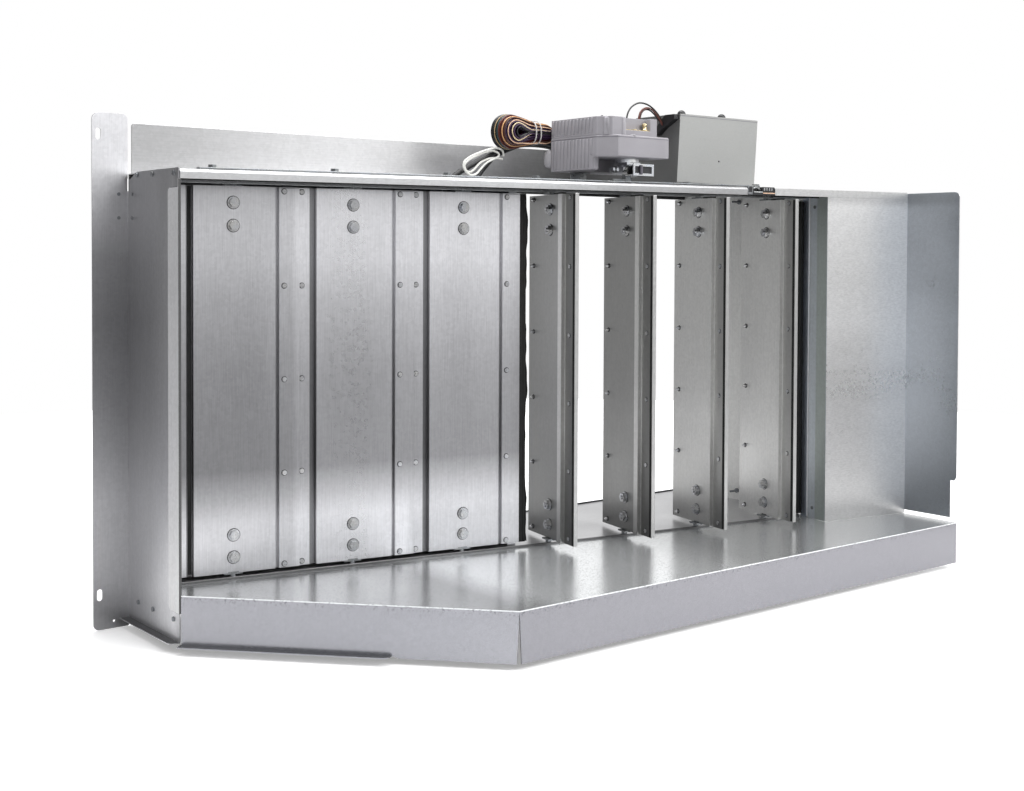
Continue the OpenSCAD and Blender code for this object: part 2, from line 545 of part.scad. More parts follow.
hank();  // wire_hank
sleeves();  // wire_sleeves
pale_lead();  // white_lead
top_leads();  // box_leads
rail_socket();
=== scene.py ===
import math
import random

import bmesh
import bpy
from mathutils import Matrix, Vector


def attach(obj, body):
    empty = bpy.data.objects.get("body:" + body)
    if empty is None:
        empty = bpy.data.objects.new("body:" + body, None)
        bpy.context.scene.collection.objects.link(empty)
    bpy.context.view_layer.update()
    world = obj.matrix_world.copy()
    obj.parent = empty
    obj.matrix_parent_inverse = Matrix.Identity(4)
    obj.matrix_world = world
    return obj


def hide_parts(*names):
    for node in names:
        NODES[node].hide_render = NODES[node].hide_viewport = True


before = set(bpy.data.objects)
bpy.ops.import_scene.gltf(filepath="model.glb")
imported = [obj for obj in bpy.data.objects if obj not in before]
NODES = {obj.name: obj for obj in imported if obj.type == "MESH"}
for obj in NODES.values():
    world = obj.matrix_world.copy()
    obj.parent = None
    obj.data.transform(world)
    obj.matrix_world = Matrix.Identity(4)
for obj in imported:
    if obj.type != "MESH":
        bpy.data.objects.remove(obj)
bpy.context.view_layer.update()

random.seed(11)

# ------------------------------------------------------------------ frames of reference
OX, OY, OZ = -544.95, 73.75, 68.5
AL = math.radians(10.25)
CA, SA = math.cos(AL), math.sin(AL)
TOP = 508.0


def P(u, w, z):
    """plan frame in mm, from the left post, to metres in the row frame"""
    return Vector(((u + OX) / 1000, (w + OY) / 1000, (z + OZ) / 1000))


def B(s, n, z):
    """bank frame in mm to metres in the row frame"""
    return P(s * CA + n * SA, -s * SA + n * CA, z)


# ------------------------------------------------------------------ camera
yaw, pitch, roll = (math.radians(a) for a in (38.21, 1.44, 0.22))
fwd0 = Vector((math.sin(yaw), math.cos(yaw), 0))
right0 = Vector((math.cos(yaw), -math.sin(yaw), 0))
up0 = Vector((0, 0, 1))
fwd = fwd0 * math.cos(pitch) - up0 * math.sin(pitch)
upv = up0 * math.cos(pitch) + fwd0 * math.sin(pitch)
cx_ = right0 * math.cos(roll) + upv * math.sin(roll)
cy_ = upv * math.cos(roll) - right0 * math.sin(roll)
cam_data = bpy.data.cameras.new("camera")
cam = bpy.data.objects.new("camera", cam_data)
bpy.context.scene.collection.objects.link(cam)
rot = Matrix((cx_, cy_, -fwd)).transposed().to_4x4()
cam.matrix_world = Matrix.Translation(P(-692.9, -1514.9, 408.8)) @ rot
cam_data.sensor_width = 36
cam_data.sensor_fit = "HORIZONTAL"
cam_data.lens = 1367.81 * 36 / 1024
cam_data.shift_x = (512 - 510.71) / 1024
cam_data.shift_y = (287.93 - 395.5) / 1024
cam_data.clip_start = 0.05
cam_data.clip_end = 200
bpy.context.scene.camera = cam


# ------------------------------------------------------------------ materials
class Net:
    """a small helper around one node tree"""

    def __init__(self, name):
        self.mat = bpy.data.materials.new(name)
        self.mat.use_nodes = True
        self.t = self.mat.node_tree
        self.bsdf = next(n for n in self.t.nodes if n.type == "BSDF_PRINCIPLED")
        self.coord = self.t.nodes.new("ShaderNodeTexCoord").outputs["Object"]

    def add(self, kind, **props):
        n = self.t.nodes.new(kind)
        for k, v in props.items():
            setattr(n, k, v)
        return n

    def link(self, a, b):
        self.t.links.new(a, b)

    def mapped(self, scale, rot=(0, 0, 0)):
        m = self.add("ShaderNodeMapping")
        m.inputs["Scale"].default_value = scale
        m.inputs["Rotation"].default_value = rot
        self.link(self.coord, m.inputs["Vector"])
        return m.outputs["Vector"]

    def noise(self, scale, detail=2.0, stretch=None, rough=0.5, rot=(0, 0, 0)):
        n = self.add("ShaderNodeTexNoise")
        n.inputs["Scale"].default_value = scale
        n.inputs["Detail"].default_value = detail
        n.inputs["Roughness"].default_value = rough
        self.link(self.mapped(stretch or (1, 1, 1), rot), n.inputs["Vector"])
        return n.outputs["Fac"]

    def cells(self, scale, stretch=None):
        n = self.add("ShaderNodeTexVoronoi")
        n.inputs["Scale"].default_value = scale
        self.link(self.mapped(stretch or (1, 1, 1)), n.inputs["Vector"])
        s = self.add("ShaderNodeSeparateColor")
        self.link(n.outputs["Color"], s.inputs["Color"])
        return s.outputs["Red"], n.outputs["Distance"]

    def ramp(self, fac, stops, mode="LINEAR"):
        n = self.add("ShaderNodeValToRGB")
        n.color_ramp.interpolation = mode
        els = n.color_ramp.elements
        while len(els) < len(stops):
            els.new(0.5)
        for e, (p, c) in zip(els, stops):
            e.position = p
            e.color = (c, c, c, 1) if isinstance(c, (int, float)) else (*c, 1)
        self.link(fac, n.inputs["Fac"])
        return n.outputs["Color"]

    def mix(self, a, b, fac, mode="MIX"):
        n = self.add("ShaderNodeMix", data_type="RGBA", blend_type=mode)
        for sock, v in ((n.inputs[6], a), (n.inputs[7], b), (n.inputs[0], fac)):
            if isinstance(v, bpy.types.NodeSocket):
                self.link(v, sock)
            elif isinstance(v, (int, float)):
                sock.default_value = v if sock == n.inputs[0] else (v, v, v, 1)
            else:
                sock.default_value = (*v, 1)
        return n.outputs[2]

    def math(self, op, a, b=0.0, clamp=False):
        n = self.add("ShaderNodeMath", operation=op, use_clamp=clamp)
        for i, v in enumerate((a, b)):
            if isinstance(v, bpy.types.NodeSocket):
                self.link(v, n.inputs[i])
            else:
                n.inputs[i].default_value = v
        return n.outputs[0]

    def range(self, v, a, b):
        n = self.add("ShaderNodeMapRange")
        n.inputs["From Min"].default_value = 0.3
        n.inputs["From Max"].default_value = 0.7
        n.inputs["To Min"].default_value = a
        n.inputs["To Max"].default_value = b
        self.link(v, n.inputs["Value"])
        return n.outputs["Result"]

    def along(self, vec, a, b):
        """0 to 1 between two distances in mm along a direction of the row frame"""
        d = self.add("ShaderNodeVectorMath", operation="DOT_PRODUCT")
        self.link(self.coord, d.inputs[0])
        d.inputs[1].default_value = tuple(v * 1000 for v in vec)
        m = self.add("ShaderNodeMapRange")
        m.inputs["From Min"].default_value = a
        m.inputs["From Max"].default_value = b
        self.link(d.outputs["Value"], m.inputs["Value"])
        return m.outputs["Result"]

    def facing(self, axis):
        """one component of the surface's own direction, from -1 to 1"""
        g = self.add("ShaderNodeNewGeometry")
        q = self.add("ShaderNodeSeparateXYZ")
        self.link(g.outputs["Normal"], q.inputs[0])
        return q.outputs[axis]

    def bump(self, height, strength, dist, chain=None):
        n = self.add("ShaderNodeBump")
        n.inputs["Strength"].default_value = strength
        n.inputs["Distance"].default_value = dist
        self.link(height, n.inputs["Height"])
        if chain is not None:
            self.link(chain, n.inputs["Normal"])
        return n.outputs["Normal"]


# painted shade: faces turned downward are darkened to about a tenth of their tone
PAINTED_UNDERSIDE_SHADE = "under"


def galvanised(name, dark, light, r0, r1, grain="z", spangle=260, grain_amount=0.05, wave=0.0003, speck=0.06, painted_shade_and_dirt=()):
    """zinc-coated sheet: fine spangle, rolling grain, dark pin specks, broad tint drift and gentle oil-canning; the
    shade items multiply painted light and shade into the colour by position and by facing, and the dirt item adds dirt
    specks where its mask is high
    """
    n = Net(name)
    b = n.bsdf
    b.inputs["Metallic"].default_value = 1.0
    cell, dist = n.cells(spangle)
    stretch = {"z": (1, 1, 0.03), "x": (0.03, 1, 1), "y": (1, 0.03, 1), "n": (1, 1, 1)}[grain]
    grain_n = n.noise(900, 3, stretch)
    fine = n.noise(1700, 2)
    broad = n.noise(2.2, 2)
    base = n.mix(dark, light, n.range(broad, 0.15, 0.85))
    base = n.mix(base, n.ramp(cell, [(0.0, 0.93), (1.0, 1.0)]), 1.0, "MULTIPLY")
    base = n.mix(base, n.ramp(grain_n, [(0.35, 0.86), (0.65, 1.0)]), grain_amount * 10, "MULTIPLY")
    specks = n.ramp(n.noise(520, 2), [(0.68, 1.0), (0.74, 1.0 - speck * 4)])
    base = n.mix(base, specks, 0.8, "MULTIPLY")
    for item in painted_shade_and_dirt:
        # painted shade under things: downward faces darkened
        if item == PAINTED_UNDERSIDE_SHADE:
            f = n.ramp(n.math("MULTIPLY", n.facing("Z"), -1.0, True), [(0.4, 1.0), (0.7, 0.12)])
        elif item[0] == "dirt":
            f = n.mix(1.0, n.ramp(n.noise(420, 4), [(0.56, 1.0), (0.62, 0.55)]), n.ramp(n.along(item[1], item[2], item[3]), item[4]))
        # painted shade: a gradient applied only within a zone set by a second gradient
        elif item[0] == "zone":
            f = n.mix(1.0, n.ramp(n.along(*item[1][:3]), item[1][3]), n.ramp(n.along(*item[2][:3]), item[2][3]))
        # painted light and shade by facing: faces turned one way take their own tone or gradient
        elif item[0] == "face":
            on = n.ramp(n.math("MULTIPLY", n.facing(item[1]), item[2], True), [(0.45, 0.0), (0.6, 1.0)])
            f = n.mix(1.0, item[3] if len(item) == 4 else n.ramp(n.along(item[3], item[4], item[5]), item[6]), on)
        # painted light and shade: a tone gradient along one direction
        else:
            f = n.ramp(n.along(item[0], item[1], item[2]), item[3])
        base = n.mix(base, f, 1.0, "MULTIPLY")
    n.link(base, b.inputs["Base Color"])
    ro = n.range(n.noise(9, 2, stretch if grain != "n" else None), r0, r1)
    ro = n.math("ADD", ro, n.math("MULTIPLY", n.math("SUBTRACT", cell, 0.5), 0.03), True)
    ro = n.math("ADD", ro, n.math("MULTIPLY", n.math("SUBTRACT", fine, 0.5), 0.05), True)
    n.link(ro, b.inputs["Roughness"])
    nb = n.bump(n.noise(4.0, 1), 0.30, wave)
    nb = n.bump(grain_n, 0.10, 0.00004, nb)
    n.link(nb, b.inputs["Normal"])
    return n.mat


def zinc(name, col, r0, r1, worn=0.5):
    """small zinc-plated parts: cloudy plating, brighter rubbed spots, faint yellow-blue drift"""
    n = Net(name)
    b = n.bsdf
    b.inputs["Metallic"].default_value = 1.0
    a = tuple(min(1, c * f) for c, f in zip(col, (1.01, 1.0, 0.96)))
    c = tuple(min(1, v * f) for v, f in zip(col, (0.95, 0.98, 1.03)))
    base = n.mix(a, c, n.range(n.noise(60, 3), 0, 1))
    base = n.mix(base, n.ramp(n.noise(700, 3), [(0.3, 0.72), (0.6, 1.0)]), worn, "MULTIPLY")
    n.link(base, b.inputs["Base Color"])
    n.link(n.range(n.noise(240, 4), r0, r1), b.inputs["Roughness"])
    n.link(n.bump(n.noise(800, 3), 0.15, 0.00008), b.inputs["Normal"])
    return n.mat


def plastic(name, col, r0=0.35, r1=0.5, mottle=0.08, grain=0.00006, scale=500, spec=0.5, front_shade=1.0):
    """moulded or extruded plastic: faint mottling, a fine spark-eroded grain, slight rub marks"""
    n = Net(name)
    b = n.bsdf
    dark = tuple(c * (1 - mottle) for c in col)
    light = tuple(min(1, c * (1 + mottle)) for c in col)
    base = n.mix(dark, light, n.range(n.noise(24, 3), 0, 1))
    base = n.mix(base, n.ramp(n.noise(scale * 1.7, 2), [(0.35, 0.93), (0.65, 1.0)]), 0.7, "MULTIPLY")
    # painted shade: faces turned to the front (-Y) darkened by this factor
    if front_shade != 1.0:
        base = n.mix(base, n.ramp(n.math("MULTIPLY", n.facing("Y"), -1.0, True), [(0.45, 1.0), (0.7, front_shade)]), 1.0, "MULTIPLY")
    n.link(base, b.inputs["Base Color"])
    n.link(n.range(n.noise(90, 4), r0, r1), b.inputs["Roughness"])
    b.inputs["Specular IOR Level"].default_value = spec
    n.link(n.bump(n.noise(scale, 2), 0.2, grain), b.inputs["Normal"])
    return n.mat


def painted(name, col, r0=0.5, r1=0.62):
    """powder-coated sheet: orange peel and slight chalking"""
    n = Net(name)
    b = n.bsdf
    base = n.mix(tuple(c * 0.95 for c in col), tuple(min(1, c * 1.03) for c in col), n.range(n.noise(9, 3), 0, 1))
    base = n.mix(base, n.ramp(n.noise(1300, 2), [(0.35, 0.84), (0.6, 1.0)]), 0.9, "MULTIPLY")
    # painted shade: faces turned to the left (-X) darkened to about half their tone
    base = n.mix(base, n.ramp(n.math("MULTIPLY", n.facing("X"), -1.0, True), [(0.45, 1.0), (0.6, 0.46)]), 1.0, "MULTIPLY")
    n.link(base, b.inputs["Base Color"])
    n.link(n.range(n.noise(60, 3), r0, r1), b.inputs["Roughness"])
    nb = n.bump(n.noise(650, 2), 0.25, 0.0001)
    nb = n.bump(n.noise(7, 2), 0.3, 0.0004, nb)
    n.link(nb, b.inputs["Normal"])
    return n.mat


M = {}
UP = (0, 0, 1)
ACROSS = (SA, CA, 0)
TO_FRONT = (0, -1, 0)
PAN_CORNER = 278 + OX
M["satin"] = galvanised("galv_satin", (0.56, 0.57, 0.60), (0.72, 0.72, 0.74), 0.30, 0.42, "z", speck=0.02)
# painted shade: the sill's front strip darkened to about a fifth of its tone
M["sill"] = galvanised("galv_sill", (0.62, 0.62, 0.63), (0.76, 0.76, 0.77), 0.30, 0.42, "z", speck=0.03, painted_shade_and_dirt=((ACROSS, 28.9, 29.7, [(0.0, 0.22), (1.0, 1.0)]),))
# painted light and shade on the side panel: front faces darker by height, left faces darker toward the back, a darker
# top band in front of the flange, upward faces darkened, downward faces shaded
M["side"] = galvanised("galv_side", (0.88, 0.88, 0.91), (0.98, 0.98, 1.0), 0.30, 0.40, "z", speck=0.02, painted_shade_and_dirt=(
    ("face", "Y", -1.0, UP, 8.5, 648.5, [(0.05, 0.50), (0.24, 0.60), (0.44, 0.39), (0.60, 0.31), (0.72, 0.40), (0.80, 0.66), (0.90, 0.82), (1.0, 0.84)]),
    ("face", "X", -1.0, TO_FRONT, -225.0, -72.0, [(0.0, 0.58), (0.45, 0.68), (0.75, 0.84), (0.88, 1.0), (0.96, 0.80)]),
    ("zone", (TO_FRONT, -225.0, -222.0, [(0.0, 1.0), (1.0, 0.52)]), (UP, 470.0, 610.0, [(0.0, 0.0), (1.0, 1.0)])),
    ("face", "Z", 1.0, 0.22), PAINTED_UNDERSIDE_SHADE))
# painted light and shade: the back plate brightest a little left of middle, darker to the left and much darker to the
# right
M["plate"] = galvanised("galv_plate", (0.84, 0.84, 0.85), (0.96, 0.96, 0.97), 0.32, 0.46, "x", speck=0.02, painted_shade_and_dirt=(
    ((1, 0, 0), -544.95, 455.05, [(0.0, 0.52), (0.08, 0.56), (0.22, 0.76), (0.31, 0.84), (0.42, 0.90), (0.52, 0.74), (0.62, 0.32), (0.75, 0.10)]),))
# painted light and shade: darker toward the bottom and at the top edge, and faces turned to the left tinted cooler and
# darker
M["closure"] = galvanised("galv_closure", (0.88, 0.88, 0.88), (0.98, 0.98, 0.98), 0.26, 0.36, "x", grain_amount=0.08, speck=0.02, painted_shade_and_dirt=(
    (UP, 68.5, 568.5, [(0.0, 0.60), (0.12, 0.66), (0.5, 1.0), (0.965, 1.0), (0.985, 0.80)]),
    ("face", "X", -1.0, (0.86, 0.92, 1.0))))
M["bright"] = galvanised("galv_bright", (0.80, 0.81, 0.83), (0.94, 0.94, 0.96), 0.26, 0.36, "z", grain_amount=0.08, speck=0.02)
# painted shade: downward faces darkened, and the rail darker toward the right
M["rail"] = galvanised("galv_rail", (0.64, 0.65, 0.66), (0.76, 0.76, 0.77), 0.32, 0.44, "x", speck=0.03, painted_shade_and_dirt=(PAINTED_UNDERSIDE_SHADE, ((1, 0, 0), -545.0, 455.0, [(0.0, 1.0), (0.45, 1.0), (0.62, 0.67), (0.8, 0.60)])))
# painted light and shade: tinted lighter and darker bands across the jamb's depth
M["jamb"] = galvanised("galv_jamb", (0.92, 0.92, 0.92), (1.0, 1.0, 1.0), 0.34, 0.46, "z", speck=0.02, painted_shade_and_dirt=(
    (ACROSS, -22.0, 35.6, [(0.0, (0.70, 0.77, 0.75)), (0.375, (0.70, 0.77, 0.75)), (0.41, (0.88, 0.94, 1.0)), (0.66, (0.88, 0.94, 1.0)), (0.68, (0.48, 0.53, 0.60)), (0.70, 1.0), (0.73, 1.0), (0.745, (0.58, 0.64, 0.74)), (1.0, (0.58, 0.64, 0.74))]),))
# painted light and shade: the pan's top lighter and darker along its length, its lips darker with the right lip darker
# than the left; the dirt item adds dirt specks near the top
M["pan"] = galvanised("galv_pan", (0.86, 0.885, 0.90), (0.975, 0.99, 1.0), 0.19, 0.25, "n", wave=0.00018, speck=0.01, painted_shade_and_dirt=(
    ("face", "Z", 1.0, (1, 0, 0), -560.0, 590.0, [(0.0, 0.65), (0.19, 0.54), (0.26, 0.46), (0.31, 0.98), (0.48, 1.0), (0.54, 0.92), (0.62, 0.66), (0.75, 0.68), (1.0, 0.72)]),
    ("zone", ((1, 0, 0), PAN_CORNER - 1.5, PAN_CORNER + 1.5, [(0.0, (0.444, 0.438, 0.466)), (1.0, (0.338, 0.330, 0.352))]), (UP, 66.8, 67.6, [(0.0, 1.0), (1.0, 0.0)])),
    ("dirt", UP, 50.0, 68.0, [(0.0, 0.12), (0.6, 0.25), (0.85, 1.0), (1.0, 0.9)])))
M["pan"].node_tree.nodes["Principled BSDF"].inputs["Metallic"].default_value = 0.76
# painted light and shade on the return-air blades: bright bands near the bottom and the top with a darker middle, the
# first blade darker, the lower part of the third blade darker, the deep channel shaded
M["blade_ra"] = galvanised("galv_blade_ra", (0.88, 0.88, 0.91), (0.97, 0.97, 1.0), 0.27, 0.36, "z", grain_amount=0.07, speck=0.015, painted_shade_and_dirt=(
    (UP, 68.5, 568.5, [(0.0, 0.66), (0.035, 1.0), (0.09, 1.0), (0.14, 0.92), (0.20, 0.62), (0.27, 0.38), (0.34, 0.42), (0.5, 0.56), (0.7, 0.82), (0.80, 1.0), (1.0, 1.0)]),
    ((1, 0, 0), -545.0, -345.0, [(0.0, 0.74), (0.82, 0.80), (0.86, 1.0)]),
    ("zone", ((1, 0, 0), -226.0, -214.0, [(0.0, 1.0), (1.0, 0.78)]), (UP, 68.5, 168.5, [(0.0, 1.0), (0.5, 1.0), (1.0, 0.0)])),
    (ACROSS, 33.6, 36.0, [(0.0, 1.0), (1.0, 0.35)])))
# painted light and shade on the outside-air blades: a darker band along each blade's edge, a lighter fold step on the
# first two, the first two darker overall than the last two, the first three darker toward the bottom
for k, (px_, py_, more_lit) in enumerate(((-6.20, 35.27, 0.0), (118.77, 12.67, 0.0), (243.75, -9.93, 1.0), (368.72, -32.53, 1.0))):
    tx, ty = math.cos(math.radians(77.75)), math.sin(math.radians(77.75))
    at0 = tx * px_ + ty * py_
    flat, fold, band = (0.54, 1.0, 0.32) if not more_lit else (1.0, 1.0, 0.55)
    M["blade_oa%d" % (k + 1)] = galvanised("galv_blade_oa%d" % (k + 1), (0.90, 0.90, 0.885), (0.98, 0.98, 0.965), 0.30, 0.42, "z", speck=0.03, painted_shade_and_dirt=(
        ((tx, ty, 0), at0 - 68, at0 + 65, [(0.0, band), (0.20, band), (0.225, fold), (0.295, fold), (0.31, flat), (1.0, flat * 0.96)]),
        (UP, 68.5, 568.5, [(0.0, 0.55), (0.18, 0.72), (0.34, 1.0), (1.0, 1.0)] if k < 3 else [(0.0, 0.9), (1.0, 1.0)])))
M["trim"] = galvanised("galv_trim", (0.66, 0.67, 0.69), (0.80, 0.80, 0.81), 0.28, 0.40, "z", speck=0.02)
# painted light: a brighter, less metallic copy of the sheet; its front faces darkened as painted shade
M["lap"] = galvanised("galv_lap", (0.92, 0.92, 0.94), (1.0, 1.0, 1.0), 0.32, 0.44, "z", speck=0.02, painted_shade_and_dirt=(("face", "Y", -1.0, 0.10),))
M["lap"].node_tree.nodes["Principled BSDF"].inputs["Metallic"].default_value = 0.35
# painted shade: a darker copy of the sheet for the outside-air blade edges
M["edge"] = galvanised("galv_edge", (0.50, 0.50, 0.50), (0.62, 0.62, 0.61), 0.34, 0.46, "z", speck=0.03)
# a bright, barely metallic copy of the sheet for the painted highlight strip on the right jamb
M["glint"] = galvanised("galv_glint", (0.86, 0.87, 0.92), (0.96, 0.97, 1.0), 0.34, 0.46, "z", speck=0.02)
M["glint"].node_tree.nodes["Principled BSDF"].inputs["Metallic"].default_value = 0.3
# painted light: a brighter, less metallic copy of the sheet for the duct wall
M["duct"] = galvanised("galv_duct", (0.92, 0.92, 0.90), (1.0, 1.0, 0.98), 0.34, 0.46, "z", speck=0.03)
M["duct"].node_tree.nodes["Principled BSDF"].inputs["Metallic"].default_value = 0.25
M["zinc"] = zinc("zinc_plain", (0.56, 0.56, 0.57), 0.22, 0.38)
M["zinc_dark"] = zinc("zinc_shaded", (0.30, 0.31, 0.32), 0.24, 0.42)
M["zinc_bright"] = zinc("zinc_clear", (0.82, 0.83, 0.85), 0.14, 0.26, 0.3)
M["brass"] = zinc("brass_plating", (0.72, 0.60, 0.38), 0.20, 0.34, 0.4)
M["rubber"] = plastic("seal_black", (0.012, 0.012, 0.012), 0.55, 0.75, 0.2, 0.0002, 260, 0.3)
# painted shade: the housing's front faces darkened to two thirds
M["lilac"] = plastic("housing_lilac", (0.48, 0.465, 0.50), 0.36, 0.48, 0.05, front_shade=0.66)
M["black"] = plastic("moulded_black", (0.02, 0.02, 0.022), 0.3, 0.45, 0.2)
M["box"] = painted("box_grey", (0.40, 0.405, 0.395))
M["sleeve"] = plastic("sleeve_black", (0.010, 0.010, 0.011), 0.35, 0.5, 0.2, 0.0001, 300)
M["w_white"] = plastic("lead_white", (0.78, 0.78, 0.74), 0.3, 0.42)
M["w_black"] = plastic("lead_black", (0.012, 0.012, 0.013), 0.28, 0.4)
M["w_green"] = plastic("lead_dark_green", (0.012, 0.035, 0.022), 0.28, 0.4)
M["w_teal"] = plastic("lead_blue_grey", (0.05, 0.085, 0.10), 0.28, 0.4)
M["w_rust"] = plastic("lead_rust", (0.12, 0.024, 0.014), 0.28, 0.4)
M["w_red"] = plastic("lead_dark_red", (0.09, 0.012, 0.016), 0.28, 0.4)
M["w_purple"] = plastic("lead_purple", (0.045, 0.02, 0.06), 0.28, 0.4)
M["w_orange"] = plastic("lead_orange_cream", (0.75, 0.42, 0.18), 0.28, 0.4)
M["w_pink"] = plastic("lead_pinkish_cream", (0.78, 0.52, 0.36), 0.28, 0.4)
M["w_cream"] = plastic("lead_cream", (0.80, 0.66, 0.42), 0.28, 0.4)
M["w_tan"] = plastic("lead_tan", (0.50, 0.36, 0.20), 0.28, 0.4)
M["w_brown"] = plastic("lead_brown", (0.06, 0.02, 0.013), 0.28, 0.4)
M["tie"] = plastic("tie_clear", (0.62, 0.60, 0.58), 0.2, 0.35)
M["seam"] = plastic("seam_shadow", (0.16, 0.15, 0.18), 0.5, 0.6)
M["pale"] = plastic("boss_pale", (0.62, 0.61, 0.64), 0.35, 0.5)
M["stop"] = galvanised("galv_stop", (0.40, 0.41, 0.42), (0.52, 0.53, 0.54), 0.35, 0.5, "x")


# ------------------------------------------------------------------ cords: leads held by the housing, the hank, the rail and the box
def spline(pts, m=8):
    out = []
    n = len(pts)
    for i in range(n - 1):
        p0, p1, p2, p3 = pts[max(i - 1, 0)], pts[i], pts[i + 1], pts[min(i + 2, n - 1)]
        for k in range(m):
            u = k / m
            out.append(0.5 * ((2 * p1) + (p2 - p0) * u + (2 * p0 - 5 * p1 + 4 * p2 - p3) * u * u + (3 * p1 - p0 - 3 * p2 + p3) * u ** 3))
    out.append(pts[-1])
    return out


def lead(name, pts, r_mm, mat, m=8, replaces=()):
    """a lead along smooth points in metres"""
    line = spline(pts, m)
    cu = bpy.data.curves.new(name, "CURVE")
    cu.dimensions = "3D"
    sp = cu.splines.new("POLY")
    sp.points.add(len(line) - 1)
    for q, v in zip(sp.points, line):
        q.co = (*v, 1)
    cu.bevel_depth = r_mm / 1000
    cu.bevel_resolution = 3
    cu.use_fill_caps = True
    cu.materials.append(mat)
    o = bpy.data.objects.new(name, cu)
    bpy.context.scene.collection.objects.link(o)
    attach(o, "frame")
    for node in replaces:
        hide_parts(node)
    return o


sleeve_a = [(640, 22, 566), (640, 31, 566), (638, 42, 567.5), (630, 52, 570), (616, 57.5, 572.5), (600, 58.5, 573.5), (580, 58.5, 573), (556, 58, 570), (534, 58, 564), (514, 57, 556), (498, 56, 548), (482, 56, 540), (464, 56, 531), (446, 56, 521), (425, 56, 507)]
sleeve_b = [(648, 22, 551), (648, 34, 551), (646, 48, 555), (638, 60, 563), (622, 66.5, 569.5), (596, 67.5, 571), (570, 67.5, 569), (550, 67, 563), (532, 66, 556), (518, 66, 549), (508, 65, 540), (498, 65, 530), (488, 65, 519), (472, 65, 507)]
white_pts = [(524, 49, 550), (518, 44, 557), (506, 42, 560), (494, 41, 558), (478, 41, 553), (462, 41, 547), (450, 41, 540), (446, 41, 533), (450, 41, 525), (458, 41, 520), (468, 41, 521), (476, 41, 528), (486, 41, 537), (498, 41, 543), (510, 43, 548),
             (512, 46, 553), (502, 46, 556), (488, 46, 553), (472, 46, 547), (458, 46, 540), (452, 46, 533), (455, 46, 526), (462, 46, 524), (470, 46, 529), (480, 46, 538), (494, 46, 544), (508, 48, 546), (522, 49, 545)]
arc_pts = [(665, -60, 602), (665, -60, 607), (669, -59, 615), (677, -58, 623), (691, -57, 629), (707, -55, 629), (720, -54, 625), (734, -52, 617), (745, -50, 607)]
inner_pts = [(691, -58, 602), (691, -58, 607), (695, -57, 615), (704, -56, 621), (715, -55, 622), (726, -54, 617), (736, -53, 609), (745, -52, 600)]

lead("sleeve_left", [P(*p) for p in sleeve_a], 4.1, M["sleeve"], replaces=["wire_sleeves"])
lead("sleeve_right", [P(*p) for p in sleeve_b], 4.1, M["sleeve"], replaces=["wire_sleeves"])
lead("lead_white_loop", [P(*p) for p in white_pts], 1.5, M["w_white"], replaces=["white_lead"])
lead("lead_arc", [P(*p) for p in arc_pts], 1.2, M["w_black"], replaces=["box_leads"])
for name, mat, du, dw, dz in (("lead_arc_orange", "w_rust", -1.3, -0.9, 1.1), ("lead_arc_brown", "w_brown", 1.4, -0.9, 0.2), ("lead_arc_black", "w_black", 0, 1.4, -1.2)):
    pts = [P(u + du, w + dw, z + (dz if 0 < i < len(inner_pts) - 1 else 0)) for i, (u, w, z) in enumerate(inner_pts)]
    lead(name, pts, 1.1, M[mat], replaces=["box_leads"])


# the hank: one oblong winding, several leads laid turn on turn, both ends in the housing's rear face
def turn(w, lz, rad, zt, zb, jit):
    """one turn of the winding in its lane, from the right end over the top to the left end and back below"""
    cu, cz = 526 + lz, 584
    j = lambda a: random.uniform(-a, a) * jit
    pts = [(604 + j(1), w, 590 - (0.2 * (24 - rad))), (590, w + j(0.3), zt - 0.6), (572, w + j(0.3), zt), (556, w, zt + 0.35 * (rad - 12)), (540, w, zt + 0.8 * (cz + rad - zt))]
    for k in range(0, 9):
        a = math.radians(90 + 22.5 * k)
        pts.append((cu + rad * math.cos(a), w + j(0.25), cz + rad * math.sin(a)))
    pts += [(540, w, zb - 0.8 * (zb - (cz - rad))), (556, w, zb - 0.35 * (rad - 12)), (572, w + j(0.3), zb), (590, w + j(0.3), zb + 0.6), (604 + j(1), w, 578 + (0.2 * (24 - rad)))]
    for k in range(1, 4):
        a = math.radians(-90 + 45 * k)
        pts.append((605 + 8 * math.cos(a), w, 584 + 7 * math.sin(a)))
    return pts


def hank_lead(name, mat, r, e0, cells, e1):
    """one lead: out of the housing, around the given cells of the winding, back in"""
    pts = [(e0[0], 22, e0[1]), (e0[0], 25.5, e0[1]), (e0[0] - 4, 29, e0[1])]
    for (w, rad, zt, zb, lz) in cells:
        pts += turn(w, lz, rad, zt, zb, 1.0)
    pts += [(e1[0] - 6, 30, e1[1]), (e1[0], 26, e1[1]), (e1[0], 22, e1[1])]
    return lead(name, [P(*p) for p in pts], r, M[mat], m=4, replaces=["wire_hank"])


